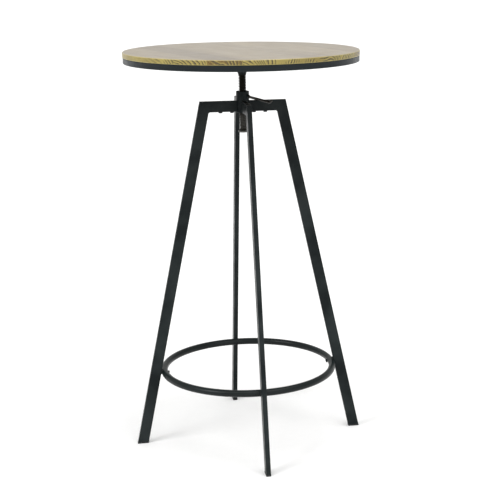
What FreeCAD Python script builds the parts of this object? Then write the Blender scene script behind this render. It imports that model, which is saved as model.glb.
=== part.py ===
import FreeCAD, Part
import math
import os

# A round bar table whose board top turns up and down on a threaded spindle.
# Millimetres. Z is up, the floor is at zero and the spindle stands on the Z axis.
# Four arms reach out of a hub tube to four sloping legs: front is -Y, right is +X.

# Board top. It is drawn square to the frame, then turned by TOP_TURN degrees.
TOP_DIAMETER = 600.0
TOP_HEIGHT = 1035.0          # floor to the face of the boards, at the height shown
TOP_TURN = 17.0
BOARD_THICKNESS = 13.0
BOARD_ARRIS = 1.2            # eased upper edge
BOARD_JOINT_SHARES = (-0.846, -0.656, -0.422, -0.161, 0.081, 0.373, 0.667)   # of the top's radius

# Steel rim and cross under the boards, rolled and cut from rectangular tube.
RIM_SETBACK = 0.6            # boards stand proud of the rim
RIM_HEIGHT = 15.0
RIM_WIDTH = 15.0
RIM_CORNER = 1.5
CROSS_WIDTH = 20.0
TOP_TUBE_WALL = 1.2

# Countersunk wood screws, driven up through the rim and the long bar.
SCREW_DIAMETER = 4.0
SCREW_BITE = 9.0             # depth in the boards
SCREW_HEAD_DIAMETER = 8.0
SCREW_HEAD_HEIGHT = 2.4
SCREW_HOLE_PLAY = 0.2
SCREW_SLOT_WIDTH = 1.2
SCREW_SLOT_DEPTH = 1.1
SCREW_PLATE_GAP = 3.0        # from a head to the spindle's plate

# Plate and collar that carry the top on the spindle.
PLATE_SIDE = 70.0
PLATE_THICKNESS = 5.0
COLLAR_DIAMETER = 26.0
COLLAR_TIP_DIAMETER = 20.8
COLLAR_CONE_HEIGHT = 11.0
COLLAR_DROP = 33.5           # rim's underside to the collar's tip
WELD_PLAY = 0.05             # between a welded or pressed piece and its seat

# Threaded spindle.
SPINDLE_DIAMETER = 20.0
THREAD_PITCH = 4.0
THREAD_DEPTH = 2.25
THREAD_ROOT_SHARE = 0.33     # width of the groove's floor, of the pitch
THREAD_FLANK_DEGREES = 15.0
THREAD_RUNOUT = 2.0          # plain stretch under the collar
SPINDLE_CHAMFER = 1.5
RUNNING_PLAY = 0.05          # radial clearance of turning and sliding fits

# Stop washer, held loosely under the spindle by a countersunk screw.
RISE_TRAVEL = 48.0           # how far the top can still go up
STOP_WASHER_DIAMETER = 25.0
STOP_WASHER_THICKNESS = 5.0
STOP_WASHER_CHAMFER = 0.8
STOP_SCREW_DIAMETER = 8.0
STOP_SCREW_HEAD_DIAMETER = 15.5
STOP_SCREW_DEPTH = 22.0      # in the spindle
STOP_SOCKET = 5.0
STOP_SOCKET_DEPTH = 2.5
STOP_PLAY = 0.15             # washer to spindle and to screw

# Hub tube and its threaded bush.
HUB_DIAMETER = 33.7
FALL_TRAVEL = 42.3           # collar's tip to the hub's upper end
HUB_WALL = 3.2
HUB_RISE = 23.8              # hub above the arms
HUB_DROP = 2.4               # hub below the arms
BUSH_RECESS = 2.0            # bush below either end of the hub

# Arms and legs, rectangular tube on edge, mitred and welded.
TUBE_DEPTH = 28.0
TUBE_WIDTH = 12.0
TUBE_WALL = 1.2
TUBE_CORNER = 1.5
ARM_REACH = 111.2            # axis to the outer top corner
FOOT_REACH = 303.5           # axis to the outer corner of a foot
ARM_END_PLAY = 0.3           # arm's end to the hub

# Stub bars on the hub, which the arms slide over.
STUB_REACH = 76.0            # axis to the end of a stub
STUB_PLAY = 0.3

# Machine bolts, button head with a hexagon socket.
BOLT_DIAMETER = 6.0
BOLT_HEAD_DIAMETER = 10.5
BOLT_HEAD_HEIGHT = 3.3
BOLT_CROWN_SHARE = 0.55      # width of a head's flat crown, of its diameter
BOLT_SOCKET = 4.0
BOLT_SOCKET_DEPTH = 2.0
BOLT_HOLE_PLAY = 0.25
BOLT_THREAD_PLAY = 0.05
ARM_BOLT_INNER = 28.5        # axis to the inner bolt of an arm
ARM_BOLT_OUTER = 58.0
ARM_BOLT_LENGTH = 16.0

# Foot ring of round tube, inside the legs.
RING_HEIGHT = 194.4
RING_TUBE_DIAMETER = 18.0
RING_WALL = 1.5
RING_GAP = 0.2               # ring to the legs' inner faces
SADDLE_DIAMETER = 14.0
SADDLE_DEPTH = 6.0
SADDLE_PLAY = 0.1
INSERT_DIAMETER = 9.0        # threaded insert in a leg's inner wall
INSERT_LENGTH = 12.0
INSERT_HEAD_DIAMETER = 10.4  # its countersunk head, flush with the wall
INSERT_HEAD_HEIGHT = 0.7
INSERT_PLAY = 0.1
RING_BOLT_BITE = 10.0        # depth in the insert

# Plastic caps in the legs' lower ends.
CAP_HEIGHT = 4.0
CAP_LIP = 0.4
CAP_ROUNDING = 1.0
CAP_CORNER = 1.9
PLUG_LENGTH = 14.0
PLUG_PLAY = 0.1

# Locking screw, which leans down a little between the front and right arms.
LOCK_DIRECTION = -45.0       # degrees from +X
LOCK_SLOPE = 9.0             # degrees below level
LOCK_DROP = 13.2             # hub's upper end to the lock's axis, at the hub's surface
LOCK_THREAD_DIAMETER = 8.0
LOCK_ROD_DIAMETER = 6.5
LOCK_BOSS_DIAMETER = 11.0
LOCK_BOSS_LENGTH = 3.0
LOCK_THREAD_SHOW = 2.0       # thread outside the boss
LOCK_ROD_LENGTH = 66.0       # hub to the start of the bend
LOCK_BEND_RADIUS = 7.0
LOCK_BEND_DEGREES = 65.0
LOCK_TIP_LENGTH = 1.5
LOCK_TIP_ROUNDING = 1.6
LOCK_HOLE_PLAY = 0.4         # hole in the hub tube's wall
PAD_LENGTH = 4.0
PAD_STEM_DIAMETER = 3.0
PAD_STEM_LENGTH = 3.0
PAD_STAND_OFF = 0.3          # pad to the spindle's crests

# Cutting tools reach this far past what they cut.
OVERRUN = 10.0

SIDES = {"front": -90.0, "right": 0.0, "back": 90.0, "left": 180.0}

# Heights and radii that follow from the sizes above.
TOP_RADIUS = TOP_DIAMETER / 2
BOARD_BOTTOM = TOP_HEIGHT - BOARD_THICKNESS
RIM_BOTTOM = BOARD_BOTTOM - RIM_HEIGHT
RIM_OUTER = TOP_RADIUS - RIM_SETBACK
RIM_INNER = RIM_OUTER - RIM_WIDTH
RIM_MIDDLE = RIM_OUTER - RIM_WIDTH / 2
PLATE_BOTTOM = RIM_BOTTOM - PLATE_THICKNESS
COLLAR_TIP = RIM_BOTTOM - COLLAR_DROP
HUB_RADIUS = HUB_DIAMETER / 2
HUB_BORE = HUB_RADIUS - HUB_WALL
HUB_TOP = COLLAR_TIP - FALL_TRAVEL
ARM_TOP = HUB_TOP - HUB_RISE
ARM_BOTTOM = ARM_TOP - TUBE_DEPTH
HUB_BOTTOM = ARM_BOTTOM - HUB_DROP
BUSH_BOTTOM = HUB_BOTTOM + BUSH_RECESS
SPINDLE_RADIUS = SPINDLE_DIAMETER / 2
STOP_WASHER_TOP = BUSH_BOTTOM - RISE_TRAVEL
SPINDLE_BOTTOM = STOP_WASHER_TOP + STOP_PLAY
STUB_WIDTH = TUBE_WIDTH - 2 * (TUBE_WALL + STUB_PLAY)
STUB_BOTTOM = ARM_BOTTOM + TUBE_WALL
STUB_TOP = ARM_TOP - TUBE_WALL - STUB_PLAY

# The leg's lean, and the mitre between arm and leg, in the plane of one arm.
LEAN = math.atan2(FOOT_REACH - ARM_REACH, ARM_TOP)
LEG_LENGTH = math.hypot(FOOT_REACH - ARM_REACH, ARM_TOP)
LEG_X = math.sin(LEAN)
LEG_Z = -math.cos(LEAN)
MITRE_LENGTH = math.hypot(1 - LEG_X, LEG_Z)
MITRE_X = (1 - LEG_X) / MITRE_LENGTH
MITRE_Z = -LEG_Z / MITRE_LENGTH
MITRE_SPAN = TUBE_DEPTH / MITRE_Z
INNER_CORNER_X = ARM_REACH - MITRE_SPAN * MITRE_X
INNER_CORNER_Z = ARM_TOP - MITRE_SPAN * MITRE_Z

# The ring's radius lets its tube stand RING_GAP off the legs' inner faces.
RING_TUBE_RADIUS = RING_TUBE_DIAMETER / 2
FACE_X_AT_RING = INNER_CORNER_X + (INNER_CORNER_Z - RING_HEIGHT) * math.tan(LEAN)
RING_RADIUS = FACE_X_AT_RING - (RING_TUBE_RADIUS + RING_GAP) / math.cos(LEAN)


def point(x, y, z):
    return FreeCAD.Vector(x, y, z)


UP = point(0, 0, 1)
ORIGIN = point(0, 0, 0)


def face_of(points):
    wire = Part.makePolygon(points + [points[0]])
    return Part.Face(wire)


def bar(start, end, depth_from, depth_to, width, corner):
    """A straight bar along +X, its long edges rounded."""
    corner_point = point(start, -width / 2, depth_from)
    block = Part.makeBox(end - start, width, depth_to - depth_from, corner_point)
    if corner > 0:
        long_edges = [edge for edge in block.Edges if edge.Vertexes[0].Y == edge.Vertexes[1].Y
                      and edge.Vertexes[0].Z == edge.Vertexes[1].Z]
        block = block.makeFillet(corner, long_edges)
    return block


def tube(start, end, depth_from, depth_to, width, corner, wall):
    """A rectangular tube along +X, open at both ends."""
    outside = bar(start, end, depth_from, depth_to, width, corner)
    bore = bar(start - OVERRUN, end + OVERRUN, depth_from + wall, depth_to - wall,
               width - 2 * wall, 0)
    return outside.cut(bore)


def on_side(shape, side):
    """A copy of what is drawn along +X, turned to one of the four sides."""
    copy = shape.copy()
    copy.rotate(ORIGIN, UP, SIDES[side])
    return copy


def turned_with_top(shape):
    copy = shape.copy()
    copy.rotate(ORIGIN, UP, TOP_TURN)
    return copy


def group(shapes):
    return Part.makeCompound(shapes)


def screw_head(diameter, height, crown_share):
    """A domed head under the plane Z = 0, on the Z axis."""
    rim = diameter / 2
    crown = rim * crown_share
    shoulder = height / 3
    middle = (rim + crown) / 2 + shoulder / 2
    sides = [
        Part.makeLine(point(0, 0, 0), point(rim, 0, 0)),
        Part.makeLine(point(rim, 0, 0), point(rim, 0, -shoulder)),
        Part.Arc(point(rim, 0, -shoulder), point(middle, 0, shoulder / 4 - height),
                 point(crown, 0, -height)).toShape(),
        Part.makeLine(point(crown, 0, -height), point(0, 0, -height)),
        Part.makeLine(point(0, 0, -height), point(0, 0, 0)),
    ]
    return Part.Face(Part.Wire(sides)).revolve(ORIGIN, UP, 360)


def hexagon(across_flats, depth, floor):
    """A hexagonal socket from Z = floor downwards."""
    corner = across_flats / math.sqrt(3)
    points = [point(corner * math.cos(math.radians(60 * k)), corner * math.sin(math.radians(60 * k)), floor)
              for k in range(6)]
    return face_of(points).extrude(point(0, 0, -depth))


def bolt(length):
    """A button-head bolt that points up, its head under the plane Z = 0."""
    head = screw_head(BOLT_HEAD_DIAMETER, BOLT_HEAD_HEIGHT, BOLT_CROWN_SHARE)
    shank = Part.makeCylinder(BOLT_DIAMETER / 2, length)
    socket_floor = BOLT_SOCKET_DEPTH - BOLT_HEAD_HEIGHT
    socket = hexagon(BOLT_SOCKET, BOLT_SOCKET_DEPTH + OVERRUN, socket_floor)
    return head.fuse(shank).removeSplitter().cut(socket)


def wood_screw():
    """A slotted countersunk screw that points up, its flat head on the plane Z = 0."""
    head = Part.makeCone(SCREW_HEAD_DIAMETER / 2, SCREW_DIAMETER / 2, SCREW_HEAD_HEIGHT)
    shank = Part.makeCylinder(SCREW_DIAMETER / 2, RIM_HEIGHT + SCREW_BITE)
    slot_corner = point(-SCREW_HEAD_DIAMETER, -SCREW_SLOT_WIDTH / 2, -OVERRUN)
    slot = Part.makeBox(2 * SCREW_HEAD_DIAMETER, SCREW_SLOT_WIDTH, SCREW_SLOT_DEPTH + OVERRUN, slot_corner)
    return head.fuse(shank).removeSplitter().cut(slot)


# The top

def board_edges():
    joints = [share * TOP_RADIUS for share in BOARD_JOINT_SHARES]
    return [-TOP_RADIUS] + joints + [TOP_RADIUS]


def board_middles():
    edges = board_edges()
    return [(left + right) / 2 for left, right in zip(edges, edges[1:])]


def rim_screw_places():
    """Two screws a board, where its middle line crosses the rim."""
    places = []
    for x in board_middles():
        y = math.sqrt(RIM_MIDDLE ** 2 - x ** 2)
        places += [(x, -y), (x, y)]
    return places


def bar_screw_places():
    """One screw a board along the long bar, beside the spindle's plate, but none in the outermost boards."""
    clear = PLATE_SIDE / 2 + SCREW_PLATE_GAP + SCREW_HEAD_DIAMETER / 2
    return [(x if abs(x) > clear else math.copysign(clear, x), 0) for x in board_middles()[1:-1]]


def screw_holes(places, radius, bottom, height):
    return [Part.makeCylinder(radius, height, point(x, y, bottom)) for x, y in places]


def tube_screw_holes(places):
    """Holes through the rim or a bar, widened below for the screws' heads."""
    radius = SCREW_DIAMETER / 2 + SCREW_HOLE_PLAY
    mouth = SCREW_HEAD_DIAMETER / 2 + SCREW_HOLE_PLAY
    seats = [Part.makeCone(mouth, radius, SCREW_HEAD_HEIGHT, point(x, y, RIM_BOTTOM)) for x, y in places]
    return screw_holes(places, radius, RIM_BOTTOM - OVERRUN, RIM_HEIGHT + 2 * OVERRUN) + seats


def boards():
    disc = Part.makeCylinder(TOP_RADIUS, BOARD_THICKNESS, point(0, 0, BOARD_BOTTOM))
    upper_edges = [edge for edge in disc.Edges if edge.BoundBox.ZMin > BOARD_BOTTOM]
    disc = disc.makeChamfer(BOARD_ARRIS, upper_edges)
    places = rim_screw_places() + bar_screw_places()
    disc = disc.cut(screw_holes(places, SCREW_DIAMETER / 2, BOARD_BOTTOM - OVERRUN, SCREW_BITE + OVERRUN))
    edges = board_edges()
    strips = {}
    for number, (left, right) in enumerate(zip(edges, edges[1:]), start=1):
        strip = Part.makeBox(right - left, TOP_DIAMETER, BOARD_THICKNESS,
                             point(left, -TOP_RADIUS, BOARD_BOTTOM))
        strips["board_%d" % number] = disc.common(strip)
    return strips


def rim_ring():
    """Square tube rolled into a hoop, with a hole through it for each wood screw."""
    section = Part.makeBox(RIM_WIDTH, RIM_WIDTH, RIM_HEIGHT, point(RIM_INNER, 0, RIM_BOTTOM))
    face = [f for f in section.Faces if f.BoundBox.YMax == 0][0]
    hoop = face.revolve(ORIGIN, UP, 360)
    hoop = hoop.makeFillet(RIM_CORNER, [edge for edge in hoop.Edges if edge.isClosed()])
    bore_face = face_of([
        point(RIM_INNER + TOP_TUBE_WALL, 0, RIM_BOTTOM + TOP_TUBE_WALL),
        point(RIM_OUTER - TOP_TUBE_WALL, 0, RIM_BOTTOM + TOP_TUBE_WALL),
        point(RIM_OUTER - TOP_TUBE_WALL, 0, BOARD_BOTTOM - TOP_TUBE_WALL),
        point(RIM_INNER + TOP_TUBE_WALL, 0, BOARD_BOTTOM - TOP_TUBE_WALL),
    ])
    return hoop.cut([bore_face.revolve(ORIGIN, UP, 360)] + tube_screw_holes(rim_screw_places()))


def cross_bar_long():
    """The bar across all the boards, cut round to the rim's inside."""
    whole = tube(-RIM_OUTER, RIM_OUTER, RIM_BOTTOM, BOARD_BOTTOM, CROSS_WIDTH, RIM_CORNER, TOP_TUBE_WALL)
    inside = Part.makeCylinder(RIM_INNER - WELD_PLAY, RIM_HEIGHT, point(0, 0, RIM_BOTTOM))
    return whole.common(inside).cut(tube_screw_holes(bar_screw_places()))


def cross_bar_half(quarter_turn):
    """A bar from the side of the long bar to the rim."""
    half = tube(CROSS_WIDTH / 2, RIM_OUTER, RIM_BOTTOM, BOARD_BOTTOM, CROSS_WIDTH, RIM_CORNER, TOP_TUBE_WALL)
    half = half.common(Part.makeCylinder(RIM_INNER - WELD_PLAY, RIM_HEIGHT, point(0, 0, RIM_BOTTOM)))
    half.rotate(ORIGIN, UP, quarter_turn)
    return half


def board_screws():
    places = rim_screw_places() + bar_screw_places()
    screw = wood_screw()
    return group([screw.translated(point(x, y, RIM_BOTTOM)) for x, y in places])


def spindle_plate():
    corner = point(-PLATE_SIDE / 2, -PLATE_SIDE / 2, PLATE_BOTTOM)
    plate = Part.makeBox(PLATE_SIDE, PLATE_SIDE, PLATE_THICKNESS, corner)
    hole = Part.makeCylinder(SPINDLE_RADIUS + WELD_PLAY, PLATE_THICKNESS, point(0, 0, PLATE_BOTTOM))
    return plate.cut(hole)


def spindle_collar():
    cone_top = COLLAR_TIP + COLLAR_CONE_HEIGHT
    cone = Part.makeCone(COLLAR_TIP_DIAMETER / 2, COLLAR_DIAMETER / 2, COLLAR_CONE_HEIGHT,
                         point(0, 0, COLLAR_TIP))
    sleeve = Part.makeCylinder(COLLAR_DIAMETER / 2, PLATE_BOTTOM - cone_top, point(0, 0, cone_top))
    bore = Part.makeCylinder(SPINDLE_RADIUS + WELD_PLAY, PLATE_BOTTOM - COLLAR_TIP, point(0, 0, COLLAR_TIP))
    return cone.fuse(sleeve).removeSplitter().cut(bore)


# The spindle and its stop

def spindle():
    """A trapezoidal thread, drawn as one groove a pitch."""
    root = SPINDLE_RADIUS - THREAD_DEPTH
    half_floor = THREAD_PITCH * THREAD_ROOT_SHARE / 2
    half_mouth = half_floor + THREAD_DEPTH * math.tan(math.radians(THREAD_FLANK_DEGREES))
    thread_top = COLLAR_TIP - THREAD_RUNOUT
    grooves = int((thread_top - SPINDLE_BOTTOM - SPINDLE_CHAMFER) / THREAD_PITCH)
    outline = [point(0, 0, RIM_BOTTOM), point(SPINDLE_RADIUS, 0, RIM_BOTTOM)]
    for number in range(grooves):
        z = thread_top - half_mouth - number * THREAD_PITCH
        outline += [
            point(SPINDLE_RADIUS, 0, z + half_mouth),
            point(root, 0, z + half_floor),
            point(root, 0, z - half_floor),
            point(SPINDLE_RADIUS, 0, z - half_mouth),
        ]
    outline += [
        point(SPINDLE_RADIUS, 0, SPINDLE_BOTTOM + SPINDLE_CHAMFER),
        point(SPINDLE_RADIUS - SPINDLE_CHAMFER, 0, SPINDLE_BOTTOM),
        point(0, 0, SPINDLE_BOTTOM),
    ]
    body = face_of(outline).revolve(ORIGIN, UP, 360)
    hole = Part.makeCylinder(STOP_SCREW_DIAMETER / 2 + WELD_PLAY, STOP_SCREW_DEPTH + OVERRUN,
                             point(0, 0, SPINDLE_BOTTOM - OVERRUN))
    return body.cut(hole)


def countersunk_head(play):
    """The stop screw's cone, grown by play all round."""
    height = (STOP_SCREW_HEAD_DIAMETER - STOP_SCREW_DIAMETER) / 2
    bottom = point(0, 0, STOP_WASHER_TOP - STOP_WASHER_THICKNESS)
    return Part.makeCone(STOP_SCREW_HEAD_DIAMETER / 2 + play, STOP_SCREW_DIAMETER / 2 + play, height, bottom)


def stop_washer():
    bottom = STOP_WASHER_TOP - STOP_WASHER_THICKNESS
    washer = Part.makeCylinder(STOP_WASHER_DIAMETER / 2, STOP_WASHER_THICKNESS, point(0, 0, bottom))
    outer_edges = [edge for edge in washer.Edges if edge.isClosed()]
    washer = washer.makeChamfer(STOP_WASHER_CHAMFER, outer_edges)
    hole = Part.makeCylinder(STOP_SCREW_DIAMETER / 2 + STOP_PLAY, STOP_WASHER_THICKNESS, point(0, 0, bottom))
    return washer.cut([hole, countersunk_head(STOP_PLAY)])


def stop_screw():
    bottom = STOP_WASHER_TOP - STOP_WASHER_THICKNESS
    shank = Part.makeCylinder(STOP_SCREW_DIAMETER / 2, SPINDLE_BOTTOM - bottom + STOP_SCREW_DEPTH,
                              point(0, 0, bottom))
    socket = hexagon(STOP_SOCKET, STOP_SOCKET_DEPTH + OVERRUN, bottom + STOP_SOCKET_DEPTH)
    return countersunk_head(0).fuse(shank).removeSplitter().cut(socket)


# The locking screw. Its axis leaves the hub LOCK_DROP below the upper end.

def lock_axis():
    level = math.cos(math.radians(LOCK_SLOPE))
    turn = math.radians(LOCK_DIRECTION)
    return point(level * math.cos(turn), level * math.sin(turn), -math.sin(math.radians(LOCK_SLOPE)))


def lock_point(distance):
    """The point of the lock's axis this far out from the hub's surface, or in where it is negative."""
    turn = math.radians(LOCK_DIRECTION)
    at_hub = point(HUB_RADIUS * math.cos(turn), HUB_RADIUS * math.sin(turn), HUB_TOP - LOCK_DROP)
    return at_hub + lock_axis() * distance


def lock_cylinder(radius, start, end):
    return Part.makeCylinder(radius, end - start, lock_point(start), lock_axis())


PAD_TIP = (SPINDLE_RADIUS + PAD_STAND_OFF) / math.cos(math.radians(LOCK_SLOPE)) - HUB_RADIUS
PAD_BACK = PAD_TIP + PAD_LENGTH


def lock_boss():
    boss = lock_cylinder(LOCK_BOSS_DIAMETER / 2, -HUB_WALL, LOCK_BOSS_LENGTH)
    hub = Part.makeCylinder(HUB_RADIUS, HUB_TOP - HUB_BOTTOM, point(0, 0, HUB_BOTTOM))
    hole = lock_cylinder(LOCK_THREAD_DIAMETER / 2 + RUNNING_PLAY, -HUB_RADIUS, LOCK_BOSS_LENGTH + OVERRUN)
    return boss.cut([hub, hole])


def lock_pad():
    """A soft pad that the screw presses on the thread. Its stem turns in the screw's end."""
    pad = lock_cylinder(LOCK_THREAD_DIAMETER / 2 - RUNNING_PLAY, PAD_TIP - SPINDLE_RADIUS, PAD_BACK)
    stem = lock_cylinder(PAD_STEM_DIAMETER / 2, PAD_BACK - PAD_LENGTH / 2, PAD_BACK + PAD_STEM_LENGTH)
    crests = Part.makeCylinder(SPINDLE_RADIUS + PAD_STAND_OFF, HUB_TOP - HUB_BOTTOM, point(0, 0, HUB_BOTTOM))
    return pad.fuse(stem).cut(crests)


def lock_screw():
    thread = lock_cylinder(LOCK_THREAD_DIAMETER / 2, PAD_BACK + RUNNING_PLAY,
                           LOCK_BOSS_LENGTH + LOCK_THREAD_SHOW)
    seat = lock_cylinder(PAD_STEM_DIAMETER / 2 + RUNNING_PLAY, PAD_BACK - OVERRUN,
                         PAD_BACK + PAD_STEM_LENGTH + RUNNING_PLAY)
    rod = lock_cylinder(LOCK_ROD_DIAMETER / 2, LOCK_BOSS_LENGTH, LOCK_ROD_LENGTH)
    bend_start = lock_point(LOCK_ROD_LENGTH)
    axis = lock_axis()
    sideways = axis.cross(UP).normalize()
    lift = sideways.cross(axis).normalize()
    section = Part.Face(Part.Wire(Part.makeCircle(LOCK_ROD_DIAMETER / 2, bend_start, axis)))
    centre = bend_start + lift * LOCK_BEND_RADIUS
    bend = section.revolve(centre, sideways, LOCK_BEND_DEGREES)
    angle = math.radians(LOCK_BEND_DEGREES)
    out = axis * math.cos(angle) + lift * math.sin(angle)
    from_centre = axis * math.sin(angle) - lift * math.cos(angle)
    bend_end = centre + from_centre * LOCK_BEND_RADIUS
    tip = Part.makeCylinder(LOCK_ROD_DIAMETER / 2, LOCK_TIP_LENGTH + LOCK_TIP_ROUNDING, bend_end, out)
    tip_centre = bend_end + out * (LOCK_TIP_LENGTH + LOCK_TIP_ROUNDING)
    end_edges = [edge for edge in tip.Edges
                 if edge.isClosed() and edge.CenterOfMass.isEqual(tip_centre, WELD_PLAY)]
    tip = tip.makeFillet(LOCK_TIP_ROUNDING, end_edges)
    return thread.fuse([rod, bend, tip]).removeSplitter().cut(seat)


# The hub

def hub_tube():
    outside = Part.makeCylinder(HUB_RADIUS, HUB_TOP - HUB_BOTTOM, point(0, 0, HUB_BOTTOM))
    bore = Part.makeCylinder(HUB_BORE, HUB_TOP - HUB_BOTTOM, point(0, 0, HUB_BOTTOM))
    lock_hole = lock_cylinder(LOCK_THREAD_DIAMETER / 2 + LOCK_HOLE_PLAY, -HUB_RADIUS, OVERRUN)
    return outside.cut([bore, lock_hole])


def spindle_bush():
    length = HUB_TOP - BUSH_RECESS - BUSH_BOTTOM
    bush = Part.makeCylinder(HUB_BORE - WELD_PLAY, length, point(0, 0, BUSH_BOTTOM))
    bore = Part.makeCylinder(SPINDLE_RADIUS + RUNNING_PLAY, length, point(0, 0, BUSH_BOTTOM))
    lock_hole = lock_cylinder(LOCK_THREAD_DIAMETER / 2 + RUNNING_PLAY, -HUB_RADIUS, OVERRUN)
    return bush.cut([bore, lock_hole])


def arm_bolt_places():
    return [ARM_BOLT_INNER, ARM_BOLT_OUTER]


def stub():
    """A solid bar welded to the hub, tapped for the two bolts of its arm."""
    block = bar(0, STUB_REACH, STUB_BOTTOM, STUB_TOP, STUB_WIDTH, 0)
    hub = Part.makeCylinder(HUB_RADIUS, STUB_TOP - STUB_BOTTOM, point(0, 0, STUB_BOTTOM))
    holes = [Part.makeCylinder(BOLT_DIAMETER / 2 + BOLT_THREAD_PLAY, ARM_BOLT_LENGTH,
                               point(x, 0, STUB_BOTTOM)) for x in arm_bolt_places()]
    return block.cut([hub] + holes)


# Arms and legs, drawn along +X in the plane of one arm

def mitre_points():
    """The ends of the mitre's line, past the outer and the inner corner."""
    above = point(ARM_REACH + OVERRUN * MITRE_X, 0, ARM_TOP + OVERRUN * MITRE_Z)
    below = point(INNER_CORNER_X - OVERRUN * MITRE_X, 0, INNER_CORNER_Z - OVERRUN * MITRE_Z)
    return above, below


def thick(points):
    """A prism on a plane outline, wider than the tubes on both sides."""
    face = face_of(points)
    face.translate(point(0, -TUBE_WIDTH, 0))
    return face.extrude(point(0, 2 * TUBE_WIDTH, 0))


def arm():
    above, below = mitre_points()
    keep = thick([above, below, point(0, 0, below.z), point(0, 0, above.z)])
    whole = tube(0, ARM_REACH + OVERRUN, ARM_BOTTOM, ARM_TOP, TUBE_WIDTH, TUBE_CORNER, TUBE_WALL)
    hub = Part.makeCylinder(HUB_RADIUS + ARM_END_PLAY, TUBE_DEPTH, point(0, 0, ARM_BOTTOM))
    holes = [Part.makeCylinder(BOLT_DIAMETER / 2 + BOLT_HOLE_PLAY, OVERRUN + TUBE_WALL,
                               point(x, 0, ARM_BOTTOM - OVERRUN)) for x in arm_bolt_places()]
    return whole.common(keep).cut([hub] + holes)


def leaning(shape):
    """What is drawn along +X from the origin, laid down the leg from the outer top corner."""
    copy = shape.copy()
    copy.rotate(ORIGIN, point(0, 1, 0), 90 - math.degrees(LEAN))
    copy.translate(point(ARM_REACH, 0, ARM_TOP))
    return copy


def face_point(depth):
    """Where a ring bolt's axis meets the leg's inner face, or a point this deep in the leg."""
    reach = RING_TUBE_RADIUS + RING_GAP + depth
    return point(RING_RADIUS + reach * math.cos(LEAN), 0, RING_HEIGHT + reach * math.sin(LEAN))


def bolt_way():
    """The ring bolts' axis, square to the leg's inner face and pointing out."""
    return point(math.cos(LEAN), 0, math.sin(LEAN))


def insert_blank(play, length):
    """The insert's outer shape: a countersunk head in the wall and a body behind it."""
    radius = INSERT_DIAMETER / 2 + play
    head = Part.makeCone(INSERT_HEAD_DIAMETER / 2 + play, radius, INSERT_HEAD_HEIGHT,
                         face_point(0), bolt_way())
    body = Part.makeCylinder(radius, length, face_point(0), bolt_way())
    return head.fuse(body)


def leg():
    above, below = mitre_points()
    far = FOOT_REACH + OVERRUN
    keep = thick([above, below, point(below.x, 0, CAP_HEIGHT), point(far, 0, CAP_HEIGHT),
                  point(far, 0, above.z)])
    whole = leaning(tube(-TUBE_DEPTH, LEG_LENGTH + TUBE_DEPTH, -TUBE_DEPTH, 0,
                         TUBE_WIDTH, TUBE_CORNER, TUBE_WALL))
    return whole.common(keep).cut(insert_blank(INSERT_PLAY, TUBE_WALL))


def foot_cap():
    """A cap that follows the leg's lean, with a plug inside the tube."""
    lip_bar = leaning(bar(LEG_LENGTH / 2, LEG_LENGTH + TUBE_DEPTH, -TUBE_DEPTH - CAP_LIP, CAP_LIP,
                          TUBE_WIDTH + 2 * CAP_LIP, CAP_CORNER))
    far = FOOT_REACH + OVERRUN
    base = lip_bar.common(thick([point(0, 0, 0), point(far, 0, 0), point(far, 0, CAP_HEIGHT),
                                 point(0, 0, CAP_HEIGHT)]))
    floor_edges = [edge for edge in base.Edges if edge.BoundBox.ZMax < CAP_HEIGHT / 2]
    base = base.makeFillet(CAP_ROUNDING, floor_edges)
    inset = TUBE_WALL + PLUG_PLAY
    plug_bar = leaning(bar(LEG_LENGTH / 2, LEG_LENGTH + TUBE_DEPTH, inset - TUBE_DEPTH, -inset,
                           TUBE_WIDTH - 2 * inset, 0))
    plug_top = CAP_HEIGHT + PLUG_LENGTH
    plug = plug_bar.common(thick([point(0, 0, CAP_HEIGHT / 2), point(far, 0, CAP_HEIGHT / 2),
                                  point(far, 0, plug_top), point(0, 0, plug_top)]))
    return base.fuse(plug)


def arm_bolts():
    one = bolt(ARM_BOLT_LENGTH)
    bolts = []
    for side in SIDES:
        for x in arm_bolt_places():
            bolts.append(on_side(one.translated(point(x, 0, ARM_BOTTOM)), side))
    return group(bolts)


# The foot ring and what fastens it

def foot_ring():
    hoop = Part.makeTorus(RING_RADIUS, RING_TUBE_RADIUS, point(0, 0, RING_HEIGHT))
    bore = Part.makeTorus(RING_RADIUS, RING_TUBE_RADIUS - RING_WALL, point(0, 0, RING_HEIGHT))
    reach = RING_TUBE_DIAMETER + 2 * OVERRUN
    hole = Part.makeCylinder(BOLT_DIAMETER / 2 + BOLT_HOLE_PLAY, reach,
                             face_point(-reach), bolt_way())
    return hoop.cut([bore] + [on_side(hole, side) for side in SIDES])


def ring_saddle():
    """A spacer that fills the wedge between the round tube and the leg's flat face."""
    block = Part.makeCylinder(SADDLE_DIAMETER / 2, SADDLE_DEPTH, face_point(-SADDLE_DEPTH), bolt_way())
    hoop = Part.makeTorus(RING_RADIUS, RING_TUBE_RADIUS + SADDLE_PLAY, point(0, 0, RING_HEIGHT))
    hole = Part.makeCylinder(BOLT_DIAMETER / 2 + BOLT_HOLE_PLAY, SADDLE_DEPTH,
                             face_point(-SADDLE_DEPTH), bolt_way())
    return block.cut([hoop, hole])


def ring_insert():
    """A threaded insert in the leg's inner wall."""
    thread = Part.makeCylinder(BOLT_DIAMETER / 2 + BOLT_THREAD_PLAY, INSERT_LENGTH + 2 * OVERRUN,
                               face_point(-OVERRUN), bolt_way())
    return insert_blank(0, INSERT_LENGTH).removeSplitter().cut(thread)


def ring_bolt():
    """A bolt through the ring's tube from its inside, into the insert."""
    head_depth = RING_TUBE_DIAMETER + RING_GAP + WELD_PLAY
    one = bolt(head_depth + RING_BOLT_BITE)
    one.rotate(ORIGIN, point(0, 1, 0), 90 - math.degrees(LEAN))
    one.translate(face_point(-head_depth))
    return one


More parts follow.
